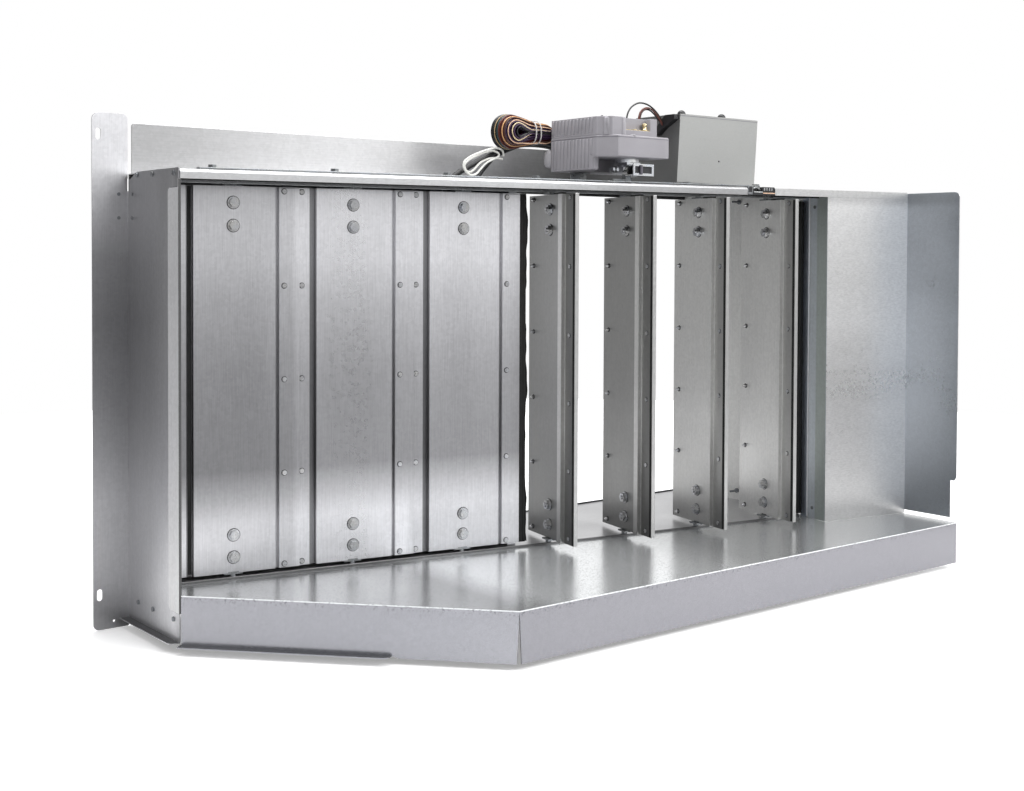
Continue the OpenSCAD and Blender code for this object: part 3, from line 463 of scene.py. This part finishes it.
hank = [
    ("hank_black_a", "w_black", 1.25, [(48.4, 24.4, 598.6, 570.0, 0), (45.8, 24.4, 598.4, 570.2, 0)]),
    ("hank_black_b", "w_black", 1.25, [(48.4, 21.8, 596.0, 572.6, 0), (43.2, 24.4, 598.8, 570.0, 0)]),
    ("hank_tan", "w_tan", 0.7, [(41.2, 24.6, 599.4, 569.6, 0)]),
    ("hank_black_c", "w_black", 1.25, [(45.8, 21.8, 596.0, 572.6, 0), (43.2, 21.8, 596.0, 572.4, 0)]),
    ("hank_green", "w_green", 1.2, [(40.6, 21.6, 596.2, 572.4, 0), (48.2, 19.2, 593.4, 575.0, 1)]),
    ("hank_teal", "w_teal", 1.25, [(38.2, 24.0, 598.6, 570.0, 2), (38.0, 21.4, 596.0, 572.4, 2)]),
    ("hank_rust", "w_rust", 1.2, [(35.6, 23.6, 598.2, 570.4, 2), (35.4, 21.0, 595.8, 573.0, 2)]),
    ("hank_red", "w_red", 1.2, [(33.0, 21.4, 596.4, 571.6, 3), (33.0, 18.8, 593.8, 574.4, 3)]),
    ("hank_black_d", "w_black", 1.2, [(40.6, 19.0, 593.4, 575.2, 1), (38.0, 18.8, 593.2, 575.2, 2)]),
    ("hank_orange", "w_orange", 0.85, [(30.6, 21.2, 597.4, 570.2, 2)]),
    ("hank_purple", "w_purple", 1.2, [(30.4, 17.0, 591.6, 576.0, 4), (28.0, 14.6, 589.4, 578.4, 6)]),
    ("hank_brown", "w_brown", 1.2, [(28.2, 19.8, 595.4, 571.8, 3), (33.0, 16.2, 591.2, 577.0, 4)]),
    ("hank_pink", "w_pink", 0.85, [(27.6, 16.6, 593.0, 569.6, 6)]),
    ("hank_cream", "w_cream", 0.8, [(25.4, 12.6, 588.0, 582.0, 8)]),
    ("hank_in_a", "w_black", 1.25, [(45.4, 18.6, 593.4, 575.2, 2), (44.6, 15.8, 590.8, 577.6, 3)]),
    ("hank_in_b", "w_black", 1.25, [(41.8, 16.2, 590.8, 577.4, 3), (41.8, 13.4, 588.4, 579.8, 4)]),
    ("hank_in_c", "w_green", 1.25, [(39.0, 15.8, 590.4, 577.8, 4), (39.2, 13.0, 588.2, 580.2, 5)]),
    ("hank_in_d", "w_red", 1.25, [(36.2, 18.2, 592.8, 575.4, 4), (36.4, 15.4, 590.2, 578.0, 5)]),
    ("hank_in_e", "w_purple", 1.25, [(33.6, 13.4, 588.8, 579.4, 6), (36.0, 12.6, 588.0, 580.2, 6)]),
    ("hank_in_f", "w_black", 1.25, [(33.4, 10.6, 587.0, 581.4, 7), (31.0, 14.2, 589.6, 578.8, 6)]),
    ("hank_in_g", "w_purple", 1.25, [(30.8, 11.4, 587.6, 580.8, 8), (28.2, 11.8, 587.4, 581.0, 9)]),
    ("hank_in_h", "w_brown", 1.25, [(36.2, 9.8, 586.4, 582.0, 8), (39.0, 10.2, 586.6, 581.8, 7)]),
    ("hank_in_i", "w_black", 1.25, [(47.4, 15.6, 591.0, 577.2, 3), (47.4, 12.8, 588.6, 579.6, 4)]),
    ("hank_in_j", "w_black", 1.25, [(44.4, 10.4, 586.8, 581.4, 5), (44.6, 13.0, 588.4, 579.8, 4)]),
    ("hank_in_k", "w_black", 1.25, [(47.2, 10.0, 586.6, 581.6, 6), (41.8, 10.6, 586.8, 581.4, 6)]),
    ("hank_in_l", "w_black", 1.25, [(46.8, 7.2, 585.6, 582.6, 8), (44.2, 7.4, 585.6, 582.6, 8)]),
    ("hank_in_m", "w_red", 1.25, [(41.6, 7.6, 585.8, 582.4, 9), (39.0, 7.4, 585.6, 582.6, 10)]),
    ("hank_in_n", "w_purple", 1.25, [(25.6, 10.0, 587.2, 581.6, 9), (28.2, 9.2, 586.4, 582.2, 10)]),
    ("hank_in_o", "w_black", 1.25, [(28.2, 6.6, 585.6, 582.8, 12), (30.8, 8.8, 586.2, 582.2, 10)]),
    ("hank_in_p", "w_purple", 1.25, [(30.8, 6.2, 585.4, 582.8, 12), (33.4, 8.0, 586.0, 582.4, 10)]),
    ("hank_in_q", "w_black", 1.25, [(36.2, 7.2, 585.6, 582.6, 11), (25.6, 7.4, 586.0, 582.4, 12)]),
    ("hank_in_r", "w_black", 1.25, [(50.9, 9.0, 586.4, 582.0, 4), (50.9, 6.4, 585.4, 582.8, 6)]),
]
for i, (name, mat, r, cells) in enumerate(hank):
    e0 = (609.5 + 2.9 * (i % 8), 590.5 - 2.8 * (i // 8))
    e1 = (608.5 + 2.9 * (i % 8), 579.5 - 2.8 * (i // 8))
    hank_lead(name, mat, r, e0, cells, e1)


# ------------------------------------------------------------------ meshes
def finish_mesh(name, bm, mat, body="frame", bevel=0.0, seg=2, angle=35, smooth=False, replaces=()):
    me = bpy.data.meshes.new(name)
    bmesh.ops.recalc_face_normals(bm, faces=bm.faces)
    if smooth:
        for f in bm.faces:
            f.smooth = True
    bm.to_mesh(me)
    bm.free()
    me.materials.append(mat)
    o = bpy.data.objects.new(name, me)
    bpy.context.scene.collection.objects.link(o)
    if bevel:
        md = o.modifiers.new("edge", "BEVEL")
        md.width = bevel / 1000
        md.segments = seg
        md.limit_method = "ANGLE"
        md.angle_limit = math.radians(angle)
        md.harden_normals = True
        for p in me.polygons:
            p.use_smooth = True
    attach(o, body)
    for n in replaces:
        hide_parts(n)
    return o


def add_box(bm, a, b, T=P):
    """a box between two corners given in mm in the frame T"""
    vs = [bm.verts.new(T(x, y, z)) for x in (a[0], b[0]) for y in (a[1], b[1]) for z in (a[2], b[2])]
    for f in ((0, 1, 3, 2), (4, 6, 7, 5), (0, 4, 5, 1), (2, 3, 7, 6), (0, 2, 6, 4), (1, 5, 7, 3)):
        bm.faces.new([vs[i] for i in f])
    return vs


# ------------------------------------------------------------------ CAD nodes: materials and softened edges
def dress(node, mat, bevel=0.3, angle=38):
    o = NODES[node]
    o.data.materials.clear()
    o.data.materials.append(mat)
    for p in o.data.polygons:
        p.material_index = 0
        p.use_smooth = True
    w = o.modifiers.new("weld", "WELD")
    w.merge_threshold = 0.000002
    if bevel:
        md = o.modifiers.new("edge", "BEVEL")
        md.width = bevel / 1000
        md.segments = 2
        md.limit_method = "ANGLE"
        md.angle_limit = math.radians(angle)
    wn = o.modifiers.new("face", "WEIGHTED_NORMAL")
    wn.weight = 100
    wn.keep_sharp = False
    return o


def dress_blade(node, mat):
    """a folded blade: flat facets, and only its long folds rounded"""
    o = NODES[node]
    o.data.materials.clear()
    o.data.materials.append(mat)
    for p in o.data.polygons:
        p.material_index = 0
        p.use_smooth = False
    at = o.data.attributes.new("bevel_weight_edge", "FLOAT", "EDGE")
    vs = o.data.vertices
    for e in o.data.edges:
        d = vs[e.vertices[1]].co - vs[e.vertices[0]].co
        at.data[e.index].value = 1.0 if abs(d.z) > 0.45 and abs(d.x) < 1e-5 and abs(d.y) < 1e-5 else 0.0
    w = o.modifiers.new("weld", "WELD")
    w.merge_threshold = 0.000002
    md = o.modifiers.new("edge", "BEVEL")
    md.width = 0.0005
    md.segments = 2
    md.limit_method = "WEIGHT"
    return o


look = {
    "side_panel": "side", "back_plate": "plate", "top_panel": "rail", "duct_floor": "sill", "left_jamb": "lap", "divider": "satin",
    "right_wall": "duct", "right_jamb": "jamb", "closure_panel": "closure", "bottom_pan": "pan", "jamb_gaskets": "rubber", "frame_screws": "zinc_dark",
    "link_bar": "zinc_dark", "actuator_body": "lilac", "actuator_cover": "lilac", "shaft_clamp": "zinc_bright", "actuator_foot": "zinc_dark",
    "control_box": "box", "box_plugs": "black", "box_gland": "black", "rail_socket": "black",
}
for k in ("ra1", "ra2", "ra3", "oa1", "oa2", "oa3", "oa4"):
    ra = k[0] == "r"
    look[k + "_skin"] = "blade_ra" if ra else "blade_" + k
    look[k + "_strip"] = "blade_ra" if ra else "edge"
    look[k + "_seal"] = "rubber"
    look[k + "_stubs"] = "zinc_dark"
    look[k + "_bolts"] = "zinc"
for node, m in look.items():
    small = node.endswith(("_seal",)) or node in ("jamb_gaskets",)
    if node.endswith("_skin"):
        dress_blade(node, M[m])
        continue
    if node in ("actuator_body", "actuator_cover"):
        dress(node, M[m], 1.6, 30)
        continue
    dress(node, M[m], 0.0 if small else 0.35 if node.endswith(("_stubs", "_bolts")) or node == "frame_screws" else 0.5)

# ------------------------------------------------------------------ finer pieces
AZ = 528.0


def ridge(bm, base, w, z0, z1, half, out):
    """a half-round rib on a face across x, its ends run out"""
    rings = []
    for z, k in ((z0, 0.08), (z0 + 1.4, 1.0), (z1 - 1.4, 1.0), (z1, 0.08)):
        rings.append([bm.verts.new(P(base - out * k * math.sin(math.pi * i / 6), w + half * math.cos(math.pi * i / 6), z)) for i in range(7)])
    for a, b in zip(rings, rings[1:]):
        for i in range(6):
            bm.faces.new((a[i], a[i + 1], b[i + 1], b[i]))
        bm.faces.new((a[6], a[0], b[0], b[6]))
    bm.faces.new(rings[0])
    bm.faces.new(list(reversed(rings[-1])))


def lathe(bm, T, c, profile, n=28, axis="z"):
    """a turned form about an upright axis (or one across x or y) through c, from pairs of radius and height"""
    def at(r, h, k):
        a = 2 * math.pi * k / n
        p, q = r * math.cos(a), r * math.sin(a)
        return T(c[0] + p, c[1] + q, c[2] + h) if axis == "z" else T(c[0] + p, c[1] + h, c[2] + q) if axis == "y" else T(c[0] + h, c[1] + p, c[2] + q)
    rings = [[bm.verts.new(at(r, h, k)) for k in range(n)] for r, h in profile]
    for a, b in zip(rings, rings[1:]):
        for k in range(n):
            bm.faces.new((a[k], a[(k + 1) % n], b[(k + 1) % n], b[k]))
    bm.faces.new(list(reversed(rings[0])))
    bm.faces.new(rings[-1])


def sweep(bm, T, pts, wide, thick, side=(0, 1, 0)):
    """a flat strip along points in mm, its width along one direction"""
    rings = []
    sv = Vector(side)
    for i, q in enumerate(pts):
        d = (Vector(pts[min(i + 1, len(pts) - 1)]) - Vector(pts[max(i - 1, 0)])).normalized()
        up_ = d.cross(sv).normalized()
        c = Vector(q)
        rings.append([bm.verts.new(T(*(c + sv * a * wide / 2 + up_ * b * thick / 2))) for a, b in ((-1, -1), (1, -1), (1, 1), (-1, 1))])
    for a, b in zip(rings, rings[1:]):
        for k in range(4):
            bm.faces.new((a[k], a[(k + 1) % 4], b[(k + 1) % 4], b[k]))
    bm.faces.new(list(reversed(rings[0])))
    bm.faces.new(rings[-1])


# actuator: grip ribs on the left side, parting seam, corner boss, release plate and button
bm = bmesh.new()
for i in range(12):
    ridge(bm, 590.05, 17.0 - 7.7 * i, AZ + (1.6 if i < 11 else 20), AZ + 43.5, 1.9, 1.1)
for i in range(12):
    ridge(bm, 590.55, 16.4 - 7.7 * i, AZ + 51, AZ + 72.6, 1.9, 1.1)
finish_mesh("actuator_ribs", bm, M["lilac"], smooth=True)
bm = bmesh.new()
seam = [(589.8, 21.5), (589.8, -78.1), (591.8, -81.1), (608.9, -102.2), (611.9, -103.2), (707.1, -103.2), (710.2, -100.1), (710.2, 21.5)]
rings = [[bm.verts.new(P(u, w, z)) for u, w in seam] for z in (AZ + 44.6, AZ + 45.3)]
inner = [[bm.verts.new(P(u + (650 - u) * 0.01, w + (-40 - w) * 0.01, z)) for u, w in seam] for z in (AZ + 44.6, AZ + 45.3)]
for i in range(len(seam) - 1):
    bm.faces.new((rings[0][i], rings[0][i + 1], rings[1][i + 1], rings[1][i]))
    bm.faces.new((inner[0][i + 1], inner[0][i], inner[1][i], inner[1][i + 1]))
    bm.faces.new((rings[1][i], rings[1][i + 1], inner[1][i + 1], inner[1][i]))
    bm.faces.new((rings[0][i + 1], rings[0][i], inner[0][i], inner[0][i + 1]))
for i in (0, len(seam) - 1):
    bm.faces.new((rings[0][i], rings[1][i], inner[1][i], inner[0][i]))
finish_mesh("actuator_seam", bm, M["seam"])
bm = bmesh.new()
lathe(bm, P, (626.5, -91.6, AZ + 48), [(5.6, 0), (5.4, 1), (5.2, 23.6), (4.6, 25.0), (3.4, 25.6)])
lathe(bm, P, (602.6, -86.2, AZ + 48), [(6.4, 0), (6.2, 22.6), (5.4, 24.6), (3.8, 25.6)])
lathe(bm, P, (640.0, -99.2, AZ + 46.5), [(4.2, 0), (4.0, 2.4), (3.2, 3.2)])
finish_mesh("actuator_bosses", bm, M["lilac"], smooth=True)
bm = bmesh.new()
add_box(bm, (630.5, -94.6, AZ + 56.1), (677.6, -86.6, AZ + 56.9))
lathe(bm, P, (652, -90.4, AZ + 56.8), [(3.2, 0), (3.2, 1.0), (2.4, 1.5)])
finish_mesh("release_plate", bm, M["brass"], bevel=0.2)
bm = bmesh.new()
lathe(bm, P, (671.2, -90.2, AZ + 56.8), [(4.4, 0), (4.4, 1.6), (3.2, 2.0), (3.2, 7.4), (4.0, 8.0), (4.0, 9.6), (3.0, 10.4)])
finish_mesh("release_button", bm, M["brass"], smooth=True)
bm = bmesh.new()
for (u, w, rr) in ((605.4, -72.5, 2.6), (622.0, -68.3, 3.8)):
    lathe(bm, P, (u, w, AZ + 73.9), [(rr, 0), (rr * 0.96, 1.0), (rr * 0.75, 2.0), (rr * 0.35, 2.6)])
finish_mesh("cover_buttons", bm, M["black"], smooth=True)
bm = bmesh.new()
lathe(bm, P, (593.5, 28.5, 534.2), [(2.0, 0), (5.2, 1.4), (7.2, 4.5), (8.0, 9.5), (8.0, 17), (7.2, 21.5), (5.2, 24.6), (2.0, 26.2)])
finish_mesh("wire_exit_boss", bm, M["pale"], smooth=True)

# two clear ties round the hank
for k, (cu, lean) in enumerate(((560.0, 3.0), (570.0, 2.0))):
    bm = bmesh.new()
    nseg = 56
    rings = []
    for i in range(nseg):
        a = 2 * math.pi * i / nseg
        ca_, sa_ = math.cos(a), math.sin(a)
        e = 0.72
        rw, rz = 14.4, 16.6
        cw, cz = 36.4 + rw * math.copysign(abs(ca_) ** e, ca_), 584.4 + rz * math.copysign(abs(sa_) ** e, sa_)
        ring = []
        for du, dr in ((-0.9, 0), (0.9, 0), (0.9, 0.8), (-0.9, 0.8)):
            ring.append(bm.verts.new(P(cu + du - lean * ca_, cw + dr * ca_, cz + dr * sa_)))
        rings.append(ring)
    for i in range(nseg):
        a, b = rings[i], rings[(i + 1) % nseg]
        for q in range(4):
            bm.faces.new((a[q], a[(q + 1) % 4], b[(q + 1) % 4], b[q]))
    finish_mesh("hank_tie_%d" % (k + 1), bm, M["tie"], smooth=True)

# control box: lid seam
bm = bmesh.new()
add_box(bm, (753.3, -80.98, TOP + 104.9), (921.2, -80.6, TOP + 105.5))
finish_mesh("box_lid_seam", bm, M["seam"])

# black strip behind the rail, a seal made black as painted shadow under the rail; and the stop strip
bm = bmesh.new()
add_box(bm, (3, 1.4, 494.9), (838, 2.6, 500.5), B)
add_box(bm, (838, 12.6, 494.9), (984, 13.8, 506.6), B)
finish_mesh("rail_seal_shadow", bm, M["rubber"], bevel=0.15)
bm = bmesh.new()
add_box(bm, (4, 43.6, 493.9), (984, 44.8, 506.7), B)
finish_mesh("blade_stop", bm, M["stop"], bevel=0.3)

# clip, leaf spring and sockets in the rail gap
bm = bmesh.new()
add_box(bm, (838.6, -0.3, 497.2), (840.0, 9, 509.0), B)
add_box(bm, (838.6, -0.4, 497.2), (847.4, 0.9, 500.4), B)
add_box(bm, (845.8, -0.4, 497.2), (847.4, 6, 508.8), B)
add_box(bm, (840.0, 1.3, 503.5), (846.2, 2.6, 506.2), B)
finish_mesh("gap_clip", bm, M["zinc_dark"], bevel=0.3)
bm = bmesh.new()
sweep(bm, B, [(847.6, 4, 503.6), (849.5, 4, 505.6), (852.5, 4, 507.4), (856, 4, 507.9), (859.5, 4, 506.6), (862.8, 4, 504.4)], 6, 1.3)
finish_mesh("gap_leaf", bm, M["zinc_dark"], smooth=True)
bm = bmesh.new()
add_box(bm, (849.4, -0.5, 500.3), (865.4, 0.3, 501.7), B)
finish_mesh("gap_strip", bm, M["zinc_bright"], bevel=0.2)
bm = bmesh.new()
for s0 in (868.4, 877.6):
    add_box(bm, (s0, 0.4, 503.4), (s0 + 2.2, 1.2, 507.4), B)
    add_box(bm, (s0 + 4.6, 0.4, 503.4), (s0 + 6.4, 1.2, 507.4), B)
finish_mesh("gap_contacts", bm, M["zinc"], bevel=0.2)
bm = bmesh.new()
add_box(bm, (866.2, -0.6, 498.8), (888.2, 0.5, 500.2), B)
finish_mesh("gap_bead", bm, M["w_pink"], bevel=0.3)
bm = bmesh.new()
sweep(bm, B, [(881, 9, 499.5), (883, 9, 496.6), (886.5, 9, 494.9), (890, 9, 494.4), (893.5, 9, 495.6)], 2.2, 2.2)
sweep(bm, B, [(874, 10, 499.5), (876, 10, 496.8), (880, 10, 495.9)], 1.8, 1.8)
finish_mesh("gap_stubs", bm, M["black"], smooth=True)

# wavy lip of the last return-air seal, and of the right gasket
bm = bmesh.new()
rows = []
for i in range(81):
    z = 8.2 + (491 - 8.2) * i / 80
    wob = 1.5 * math.sin(0.031 * z + 0.6) + 0.9 * math.sin(0.083 * z + 2.0) + 0.5 * math.sin(0.21 * z)
    lip = 400.6 + 96.0 + 0.9 + wob
    rows.append([bm.verts.new(B(x, n, z)) for x, n in ((400.6 + 92, 53.2), (lip, 53.6), (lip + 0.1, 55.4), (400.6 + 92, 55.2))])
for a, b in zip(rows, rows[1:]):
    for q in range(4):
        bm.faces.new((a[q], a[(q + 1) % 4], b[(q + 1) % 4], b[q]))
bm.faces.new(list(reversed(rows[0])))
bm.faces.new(rows[-1])
finish_mesh("ra3_seal_lip", bm, M["rubber"], body="ra3", smooth=True)
bm = bmesh.new()
rows = []
for i in range(81):
    z = 5 + (491 - 5) * i / 80
    wob = 0.9 * math.sin(0.043 * z + 1.1) + 0.6 * math.sin(0.12 * z)
    rows.append([bm.verts.new(B(x, n, z)) for x, n in ((984.6, 63), (984.6 - 0.4, 66.5 + wob), (986.4, 67.2 + wob), (987.2, 63))])
for a, b in zip(rows, rows[1:]):
    for q in range(4):
        bm.faces.new((a[q], a[(q + 1) % 4], b[(q + 1) % 4], b[q]))
bm.faces.new(list(reversed(rows[0])))
bm.faces.new(rows[-1])
finish_mesh("gasket_lip", bm, M["rubber"], smooth=True)

# painted contact shadow: dark rings round bolt heads, nuts, rivets and screw tips
M["ring"] = plastic("contact_shadow", (0.045, 0.045, 0.05), 0.6, 0.75, 0.2)
for k in ("ra1", "ra2", "ra3", "oa1", "oa2", "oa3", "oa4"):
    ra = k[0] == "r"
    i = int(k[2]) - 1
    s0, ang = (81.6 + 159.5 * i, 0.0) if ra else (537 + 127 * i, math.radians(88))
    ca_, sa_ = math.cos(ang), math.sin(ang)

    def L(x, y, z, s0=s0, ca_=ca_, sa_=sa_):
        return B(s0 + x * ca_ - y * sa_, 58 + x * sa_ + y * ca_, z)

    bm = bmesh.new()
    for z in (27.2, 55.2, 442.3, 471):
        lathe(bm, L, (0, -4.07 if ra else -0.8, z), [(8.5, 0), (8.5, 0.07)], 32, "y")
    if ra:
        for z in (12.6, 128.9, 248, 366.9, 486.4):
            lathe(bm, L, (65.7, -5.27, z), [(3.9, 0), (3.9, 0.07)], 24, "y")
            lathe(bm, L, (-69.2, -1.27, z), [(3.9, 0), (3.9, 0.07)], 24, "y")
    else:
        for z in (15.3, 109.2, 202.6, 296.6, 391.4, 486):
            lathe(bm, L, (50, -0.8, z), [(3.6, 0), (3.6, 0.07)], 24, "y")
            lathe(bm, L, (-52, -4, z), [(3.5, 0), (3.5, 0.07)], 24, "y")
    finish_mesh(k + "_contact", bm, M["ring"], body=k)

# dark block and post in the clamp's window, painted shadow filling the window
bm = bmesh.new()
add_box(bm, (657.0, -84.9, 523.0), (689.4, -84.1, 536.4))
finish_mesh("clamp_window_shadow", bm, M["ring"], body="oa2")
bm = bmesh.new()
lathe(bm, P, (668.0, -87.4, 522.7), [(2.3, 0), (2.3, 13.4)], 28)
finish_mesh("clamp_window_shadow_post", bm, M["seam"], body="oa2", smooth=False)

# bright strip down the right jamb, a painted highlight
bm = bmesh.new()
add_box(bm, (990.7, 42.3, 2), (992.1, 44.4, 505), B)
finish_mesh("jamb_highlight_strip", bm, M["glint"], bevel=0.4)

# the lap's shadow gap on the side panel
bm = bmesh.new()
edge_ = [(0.4, -22.7)] + [(23 + 6.7 * math.sin(math.radians(15 * k)), -16 - 6.7 * math.cos(math.radians(15 * k))) for k in range(7)] + [(23 + 6.7 * math.cos(math.radians(15 * k)), 480 + 6.7 * math.sin(math.radians(15 * k))) for k in range(7)] + [(0.4, 486.7)]
f0 = [bm.verts.new(P(-0.10, a, b)) for a, b in edge_]
f1 = [bm.verts.new(P(-0.005, a, b)) for a, b in edge_]
bm.faces.new(f0)
bm.faces.new(list(reversed(f1)))
for i in range(len(edge_)):
    j = (i + 1) % len(edge_)
    bm.faces.new((f0[i], f1[i], f1[j], f0[j]))
finish_mesh("lap_line", bm, M["seam"])

# black strip in the first blade's channel, seen between it and the post, painted shadow in the channel
bm = bmesh.new()
add_box(bm, (25.6, 59.4, 9), (29.9, 60.9, 491), B)
finish_mesh("ra1_groove_shadow", bm, M["rubber"], body="ra1", bevel=0.2)
# black disc in the box's pilot hole, painted shade inside the hole
bm = bmesh.new()
lathe(bm, P, (840.0, -73.9, 549.5), [(1.36, 0.15), (1.36, 0.5)], 20, "y")
finish_mesh("box_pilot", bm, M["black"])

# black foam caps at the folds of the outside-air blades
for k in range(4):
    bm = bmesh.new()
    pts = [(-41, -4.2), (-26, -3.4), (-14, 0.4), (-16, 2.2), (-27, 2.8), (-40, 2.6)]
    sx = 537 + 127 * k
    ao = math.radians(88)
    loc = [(sx + x * math.cos(ao) - y * math.sin(ao), 58 + x * math.sin(ao) + y * math.cos(ao)) for x, y in pts]
    lo = [bm.verts.new(B(a, b, 491.4)) for a, b in loc]
    hi = [bm.verts.new(B(a, b, 493.4)) for a, b in loc]
    bm.faces.new(list(reversed(lo)))
    bm.faces.new(hi)
    for i in range(len(pts)):
        j = (i + 1) % len(pts)
        bm.faces.new((lo[i], lo[j], hi[j], hi[i]))
    finish_mesh("oa%d_cap" % (k + 1), bm, M["rubber"], body="oa%d" % (k + 1), bevel=0.3)

# ------------------------------------------------------------------ floor, light
bm = bmesh.new()
bmesh.ops.create_circle(bm, cap_ends=True, segments=96, radius=2.6)
me = bpy.data.meshes.new("floor")
bm.to_mesh(me)
bm.free()
floor = bpy.data.objects.new("floor", me)
floor.location = (0, 0, -0.0006)
bpy.context.scene.collection.objects.link(floor)
nf = Net("floor_pale")
rad = nf.add("ShaderNodeVectorMath", operation="LENGTH")
nf.link(nf.coord, rad.inputs[0])
seen = nf.add("ShaderNodeLightPath").outputs["Is Camera Ray"]
# the floor glows for camera rays only, more toward its rim, so the camera sees it evenly white; other rays see it
# darken outward
far = nf.math("MULTIPLY", nf.math("SUBTRACT", rad.outputs["Value"], 0.9), 1.1, True)
pale = nf.mix((0.88, 0.88, 0.88), (0.92, 0.92, 0.92), nf.range(nf.noise(1.5, 2), 0, 1))
lit = nf.mix(pale, (0.22, 0.22, 0.23), nf.ramp(far, [(0.0, 0.0), (0.55, 1.0)]))
nf.link(nf.mix(lit, pale, seen), nf.bsdf.inputs["Base Color"])
nf.bsdf.inputs["Roughness"].default_value = 0.8
nf.bsdf.inputs["Specular IOR Level"].default_value = 0.2
nf.bsdf.inputs["Emission Color"].default_value = (1, 1, 1, 1)
glow = nf.math("ADD", 0.32, nf.math("MULTIPLY", far, 0.7))
nf.link(nf.math("MULTIPLY", glow, seen), nf.bsdf.inputs["Emission Strength"])
me.materials.append(nf.mat)

world = bpy.data.worlds.new("studio")
bpy.context.scene.world = world
world.use_nodes = True
wt = world.node_tree
bg = wt.nodes["Background"]
tc = wt.nodes.new("ShaderNodeTexCoord")
sep = wt.nodes.new("ShaderNodeSeparateXYZ")
wt.links.new(tc.outputs["Generated"], sep.inputs[0])


def wnode(kind, **props):
    n = wt.nodes.new(kind)
    for k, v in props.items():
        setattr(n, k, v)
    return n


def wmath(op, a, b=0.0, clamp=False):
    n = wnode("ShaderNodeMath", operation=op, use_clamp=clamp)
    for i, v in enumerate((a, b)):
        if isinstance(v, bpy.types.NodeSocket):
            wt.links.new(v, n.inputs[i])
        else:
            n.inputs[i].default_value = v
    return n.outputs[0]


def wramp(fac, stops):
    n = wnode("ShaderNodeValToRGB")
    els = n.color_ramp.elements
    while len(els) < len(stops):
        els.new(0.5)
    for e, (p, c) in zip(els, stops):
        e.position = p
        e.color = (c, c, c, 1)
    wt.links.new(fac, n.inputs["Fac"])
    return n.outputs["Color"]


def wmix(a, b, fac):
    n = wnode("ShaderNodeMix", data_type="RGBA")
    for sock, v in ((n.inputs[6], a), (n.inputs[7], b), (n.inputs[0], fac)):
        if isinstance(v, bpy.types.NodeSocket):
            wt.links.new(v, sock)
        else:
            sock.default_value = v
    return n.outputs[2]


def wrange(v, a, b):
    n = wnode("ShaderNodeMapRange", interpolation_type="SMOOTHSTEP")
    n.inputs["From Min"].default_value = a
    n.inputs["From Max"].default_value = b
    wt.links.new(v, n.inputs["Value"])
    return n.outputs["Result"]


# the studio by compass direction: the back is 0.5, the right 0.75, the front 0 and 1, the left 0.25
turn_ = wmath("ADD", wmath("DIVIDE", wmath("ARCTAN2", sep.outputs["X"], sep.outputs["Y"]), 2 * math.pi), 0.5)
low = wramp(turn_, [(0.0, 0.16), (0.10, 0.20), (0.20, 0.26), (0.33, 0.20), (0.43, 0.26), (0.49, 0.60), (0.54, 1.0), (0.68, 1.0), (0.76, 0.6), (0.84, 0.24), (0.89, 0.16), (1.0, 0.16)])
high = wramp(turn_, [(0.0, 0.90), (0.05, 1.0), (0.12, 1.0), (0.17, 0.35), (0.20, 0.25), (0.33, 0.15), (0.43, 0.22), (0.49, 0.60), (0.54, 1.0), (0.68, 1.0), (0.76, 0.6), (0.84, 0.50), (0.865, 0.62), (0.885, 0.95), (0.93, 1.0), (1.0, 0.85)])
sky = wmix(low, high, wrange(sep.outputs["Z"], -0.06, 0.01))
sky = wmix(sky, (0.55, 0.55, 0.56, 1), wrange(sep.outputs["Z"], 0.30, 0.75))
sky = wmix(sky, (1.0, 1.0, 1.0, 1), wnode("ShaderNodeLightPath").outputs["Is Camera Ray"])
wt.links.new(sky, bg.inputs["Color"])
bg.inputs["Strength"].default_value = 1.0


def area(name, loc, target, size, power, col=(1, 1, 1)):
    d = bpy.data.lights.new(name, "AREA")
    d.shape = "RECTANGLE"
    d.size, d.size_y = size
    d.energy = power
    d.color = col
    o = bpy.data.objects.new(name, d)
    o.location = loc
    o.rotation_euler = (Vector(target) - Vector(loc)).to_track_quat("-Z", "Y").to_euler()
    bpy.context.scene.collection.objects.link(o)
    return o


area("key", (0.9, -2.6, 2.5), (0, 0, 0.2), (1.6, 1.4), 55)
area("fill", (2.6, -1.6, 1.9), (0, 0, 0.2), (1.4, 1.6), 22)
area("top", (0.1, 0.1, 2.8), (0, 0, 0), (2.6, 1.8), 75)
bpy.context.scene.view_settings.view_transform = "Standard"
